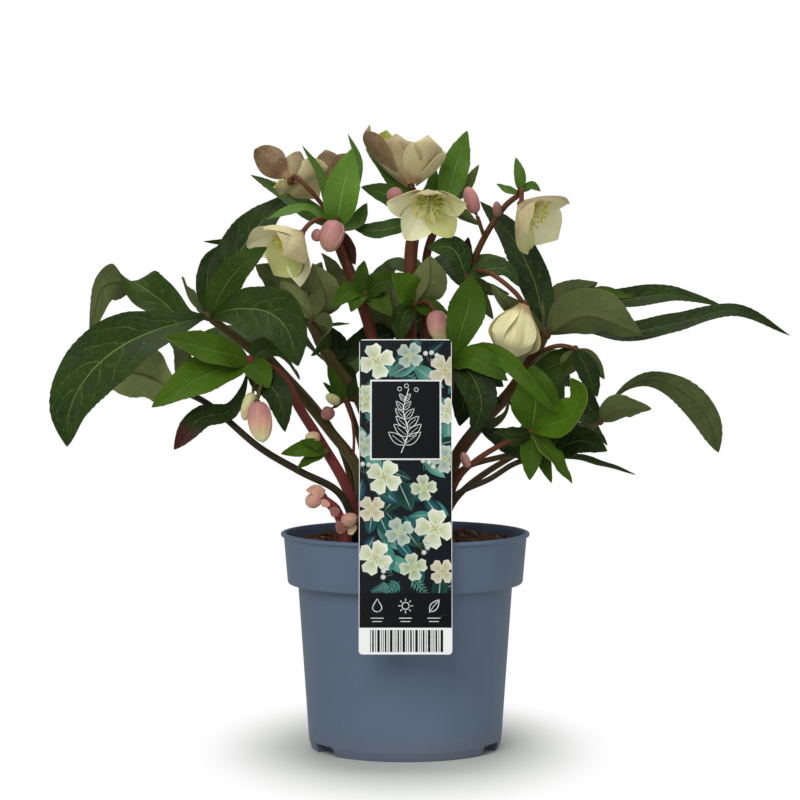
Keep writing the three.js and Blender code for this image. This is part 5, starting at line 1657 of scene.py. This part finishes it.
# %% Heart of a flower
STAMENS, FUNNELS, STYLES = 46, 12, 4
FLARE = np.array([0.012, 0.02, 0.026, 0.032, 0.036, 0.03])
ANTHER, FILAMENT, FUNNEL, STYLE = "#e3cf3a", "#e9e8ab", "#aebb45", "#e3e7b8"


def thread(start, way, lean, length, thickness, tint, corners=5):
    """A fine thread that leaves along one way and bends towards another."""
    points = [start, start + unit(way) * length * 0.5, start + unit(way + 0.35 * lean) * length]
    radii = thickness * np.array([1, 0.9, 0.8, 0.75, 0.7])
    return swept(points, 4, (0.31, -0.77, 0.55), radii, corners, tint=hue(tint)), points[-1]


def grain_of_pollen(place, way, size):
    """An anther: a small two-lobed grain at the end of a stamen."""
    way = unit(way) * size
    girth = size * 0.62 * np.sin(np.linspace(0.15, math.pi - 0.15, 7))[:, None]
    angle = np.linspace(0, 2 * math.pi, 8, endpoint=False)[None, :]
    radii = girth * (1 + 0.22 * np.cos(2 * angle))
    return swept([place - way, place, place + way], 6, (0.2, -0.9, 0.3), radii, 8, tint=hue(ANTHER))


def flower_parts(centre, axis, across, radius, bell):
    """The funnels, stamens and styles in the heart of a flower."""
    made = []
    spread = 1.05 - 0.6 * bell
    for k in range(STAMENS):
        share = math.sqrt((k + 0.5) / STAMENS)
        angle, tilt = k * GOLDEN_ANGLE, (0.16 + 0.86 * share) * spread
        out = turned_about(across, axis, angle)
        way = axis * math.cos(tilt) + out * math.sin(tilt)
        start = centre + axis * radius * 0.05 + out * radius * 0.05 * share
        length = radius * (0.34 + 0.09 * chance.random())
        filament, tip = thread(start, way, axis * (0.4 - share) + out * 0.2, length, 0.2, FILAMENT)
        made += [filament, grain_of_pollen(tip, way, 0.85 + 0.25 * chance.random())]
    for k in range(FUNNELS):
        out = turned_about(across, axis, 2 * math.pi * k / FUNNELS + 0.2)
        way = unit(axis * 0.55 + out * (1.15 - bell))
        start = centre + axis * radius * 0.05 + out * radius * 0.08
        end = start + way * radius * 0.2
        made.append(swept([start, end], 5, axis, radius * FLARE, 8, tint=hue(FUNNEL)))
    for k in range(STYLES):
        out = turned_about(across, axis, 2 * math.pi * k / STYLES + 0.5)
        start = centre + axis * radius * 0.06 + out * radius * 0.02
        made.append(thread(start, axis + out * 0.12, out, radius * 0.44, 0.42, STYLE, 7)[0])
    return made

# %% [markdown]
# ## Flower layout
# Each flower has its heart, the way it opens, its radius, how closed it is, and its stalk. A petal
# is its turn around the heart, how closed and how long it is, and the tones of its inside and back.

# %% Flower layout
FLOWERS = {
    "flower_front": dict(
        heart=[17, 376, -24], opens=[-0.05, -0.74, -0.67], radius=35, bell=0.42,
        stalk_points=[[9, 361, 0], [13, 374, -2], [16, 380, -14]],
        petals=[
            (92, 0.56, 0.95, 0.3, 0.5), (18, 0.34, 1.0, 0.5, 0.2), (162, 0.3, 1.08, 0.2, 0.2),
            (234, 0.34, 1.08, 0.15, 0.15), (304, 0.34, 1.0, 0.75, 0.3),
        ],
    ),
    "flower_top": dict(
        heart=[4, 384, 0], opens=[0.0, 0.25, 0.97], radius=41, bell=0.6,
        stalk_points=[[9, 361, 0], [11, 372, 4], [7, 379, 3]],
        petals=[
            (58, 0.72, 1.0, 0.4, 0.66), (125, 0.7, 1.0, 0.3, 0.4), (185, 0.58, 0.95, 0.25, 0.2),
            (352, 0.7, 1.44, 0.6, 0.95), (312, 0.76, 1.36, 1.0, 0.4),
        ],
    ),
    "flower_left_top": dict(
        heart=[-78, 387, 4], opens=[-0.1, 0.9, 0.4], radius=32, bell=0.25,
        stalk_points=[[-49, 357, 3], [-56, 370, 0], [-66, 382, -4], [-75, 390, -1]],
        petals=[
            (38, 0.15, 1.08, 0.3, 1.0), (110, 0.3, 0.75, 0.3, 0.75), (168, 0.22, 1.0, 0.3, 0.36),
            (220, 0.25, 1.05, 0.3, 0.24), (292, 0.35, 0.66, 0.5, 0.5),
        ],
    ),
    "flower_left_face": dict(
        heart=[-71, 351, -34], opens=[-0.66, -0.42, -0.62], radius=38, bell=0.7,
        stalk_points=[[-49, 354, -2], [-57, 361, -18], [-65, 358, -30]],
        petals=[
            (160, 0.5, 1.18, 0.15, 0.25), (85, 0.55, 0.9, 0.1, 0.3), (10, 0.7, 0.98, 0.3, 0.5),
            (218, 0.5, 1.1, 0.85, 0.3), (268, 0.45, 1.08, 0.15, 0.12),
        ],
    ),
    "flower_back_tall": dict(
        heart=[-50, 388, 18], opens=[0.1, 0.6, 0.8], radius=24, bell=0.6,
        stalk_points=[[-48, 357, 4], [-50, 372, 14], [-50, 386, 18]],
        petals=[(72 * k, 0.6, 1.0, 0.5, 0.95 - 0.05 * (k % 2)) for k in range(5)],
    ),
    "flower_right": dict(
        heart=[79, 371, -20], opens=[0.66, -0.4, -0.63], radius=39, bell=0.8,
        stalk_points=[[76, 378, -8], [79, 382, -14], [79, 377, -18]],
        petals=[
            (75, 0.6, 1.0, 0.2, 0.8), (128, 0.4, 0.7, 0.3, 0.75), (192, 0.6, 1.0, 0.25, 0.5),
            (262, 0.6, 1.02, 0.6, 0.3), (340, 0.56, 1.08, 0.06, 0.2),
        ],
    ),
    "flower_bell": dict(
        heart=[81, 303, -38], opens=[-0.32, -0.15, -0.93], radius=32, bell=1.0,
        stalk_points=[[46, 326, -2], [60, 323, -36], [75, 311, -40]],
        petals=[
            (100, 1.2, 0.98, 0.2, 0.02), (28, 1.16, 1.02, 0.2, 0.1), (172, 1.22, 1.0, 0.3, 0.05),
            (244, 1.16, 1.06, 0.2, 1.5), (316, 1.2, 1.0, 0.2, 0.12),
        ],
    ),
}

# %% Grow the flowers
FLOWER_BARK = 0.7


def grow_flower(name, heart, opens, radius, bell, stalk_points, petals):
    """A flower: its petals, its heart and its stalk."""
    centre, axis = at(heart), unit(opens)
    across = unit(np.cross((0.0, 0.0, 1.0), axis))
    grown = []
    for order, (turn, closed, reach, *tones) in enumerate(petals):
        out = turned_about(across, axis, math.radians(turn))
        grown.append(petal(centre, axis, out, radius * reach, closed, tones, order))
    piece(name + "_petals", grown, [petal_inside, petal_back], "petal", name)
    heart_parts = flower_parts(centre, axis, across, radius, bell)
    piece(name + "_heart", heart_parts, [flower_heart], "petal", name)
    route = placed_route([*stalk_points, heart])
    held = [stalk(route, 1.5, 1.7, FLOWER_BARK), lump(centre - axis * 0.6, 2.6, FLOWER_BARK, axis)]
    piece(name + "_stalk", held, [cane_bark], "stem", name)


for name, spec in FLOWERS.items():
    grow_flower(name, **spec)
print("flowers:", len(FLOWERS))

# %% [markdown]
# ## Buds
# A bud is five sepals wrapped around each other like the staves of a loosely turned barrel. Each is
# a curved sheet that covers a bit more than its fifth of the way around and tucks one edge under its
# neighbour, which draws the fine spiral seams that a plain egg would lack.

# %% Bud layout
BUDS = {
    "bud_tall_left": dict(
        foot=[-47, 360, -20], tip=[-53, 339, -26], width=16, tones=(0.25, 0.42),
        stalk_points=[[-48, 352, -3], [-46, 362, -14]],
    ),
    "bud_tall_left_small": dict(
        foot=[-57, 353, -22], tip=[-63, 347, -22], width=8, tones=(0.22, 0.32),
    ),
    "bud_centre_small": dict(
        foot=[-5, 374, -10], tip=[-10, 382, -12], width=11, tones=(0.22, 0.34),
        stalk_points=[[7, 360, -2], [0, 366, -8]],
    ),
    "bud_right_pink": dict(
        foot=[48, 365, -8], tip=[42, 383, -10], width=10, tones=(0.22, 0.36),
        stalk_points=[[54, 348, -4], [51, 357, -8]],
    ),
    "bud_right_small": dict(
        foot=[63, 363, -5], tip=[62, 373, -12], width=6, tones=(0.12, 0.2),
    ),
    "bud_centre": dict(
        foot=[20, 299, -26], tip=[25, 277, -30], width=14, tones=(0.25, 1.0),
        stalk_points=[[7, 303, -8], [15, 305, -20]],
    ),
    "bud_left_pink": dict(
        foot=[-101, 237, -78], tip=[-97, 209, -84], width=15.5, tones=(0.3, 1.0), bark=0.35,
        stalk_points=[[-95, 250, -62], [-99, 246, -74]],
    ),
    "bud_low_brown": dict(
        foot=[-50, 232, -32], tip=[-56, 225, -35], width=9, tones=(0.08, 0.25),
        stalk_points=[[-30, 236, -10], [-41, 238, -27]],
    ),
    "bud_pale": dict(foot=[-45, 236, -31], tip=[-54, 241, -36], width=7, tones=(0.95, 1.0)),
    "bud_withered": dict(
        foot=[-104, 243, -69], tip=[-110, 224, -73], width=9, tones=(0.95, 0.8),
        stalk_points=[[-101, 254, -62]],
    ),
    "bud_low_peach": dict(
        foot=[-60, 213, -46], tip=[-67, 210, -56], width=9, tones=(0.6, 0.85),
    ),
    "bud_shoot_pink": dict(
        foot=[-58, 171, -66], tip=[-68, 167, -70], width=10, tones=(0.4, 0.62),
    ),
    "bud_shoot_low": dict(
        foot=[-43, 155, -65], tip=[-33, 157, -72], width=9, tones=(0.38, 0.6),
    ),
    "bud_right_low": dict(
        foot=[43, 192, -45], tip=[39, 202, -52], width=6, tones=(0.4, 0.5),
    ),
}

# %% Grow the buds
BUD_ROWS = 18
BUD_ACROSS = np.linspace(-1, 1, 9)


def bud(foot, tip, width, tones):
    """The wrapped sepals of one bud, with its foot and the way it points."""
    start, end = at(foot), at(tip)
    axis = unit(end - start)
    places, normals, sides = framed_route([start, end], BUD_ROWS, (0.4, -0.8, 0.3))
    t = np.linspace(0, 1, BUD_ROWS + 1)[:, None]
    girth = width / 2 * (1 - np.abs(2 * t.clip(0.002, 0.997)**0.85 - 1)**2.3)**0.55
    sepals = []
    for k in range(5):
        angle = 2 * math.pi * k / 5 + math.radians(44) * BUD_ACROSS[None, :] + 0.5 * t
        tuck = girth * (1 + 0.05 * BUD_ACROSS[None, :]) * (1 - 0.012 * np.cos(5 * angle))
        out = sides[:, None] * np.cos(angle)[..., None] + normals[:, None] * np.sin(angle)[..., None]
        outer = places[:, None] + out * tuck[..., None]
        inner = places[:, None] + out * (tuck * 0.9)[..., None]
        tone = tones[0] + (tones[1] - tones[0]) * np.clip((t - 0.3) / 0.65, 0, 1)**1.2 + 0.05 * (k % 3)
        sepals.append(sheet(outer, inner, tone, finishes=(0, 0), stretch=BUD_ACROSS))
    return sepals, start, axis


def grow_bud(name, foot, tip, width, tones, stalk_points=None, bark=0.6):
    """A bud: its sepals as one piece, and its knot and stalk as another."""
    sepals, start, axis = bud(foot, tip, width, tones)
    piece(name + "_sepals", sepals, [bud_skin], "bud", name)
    held = [lump(start + axis * 0.4, max(1.1, width * 0.14), bark, axis)]
    if stalk_points:
        held.append(stalk(placed_route([*stalk_points, foot]), 1.3, 1.5, bark))
    piece(name + "_stalk", held, [cane_bark], "stem", name)


for name, spec in BUDS.items():
    grow_bud(name, **spec)
print("buds:", len(BUDS))

# %% [markdown]
# ## Scales of the young shoot
# The short red shoot at the front is wrapped in soft pink scales where its buds sit. A scale grows as
# a leaflet does, but it has the skin of a bud.

# %% Scales of the young shoot
SHOOT_SCALES = [
    (([-55, 171, -66], [-61, 176, -69], [-68, 176, -71]), 8, 0.6),
    (([-56, 172, -64], [-59, 178, -65]), 6, 0.45), (([-52, 169, -67], [-57, 165, -71]), 7, 0.5),
    (([-45, 158, -66], [-52, 164, -69]), 7, 0.15), (([-41, 146, -66], [-47, 155, -69]), 8, 0.1),
    (([-40, 146, -64], [-33, 152, -68]), 7, 0.85),
]
scales = [leaflet(foot, points, width, FRONT, tone) for (foot, *points), width, tone in SHOOT_SCALES]
piece("shoot_front_scales", scales, [bud_skin, bud_skin], "bud", "shoot_front")
print("scales:", len(scales))
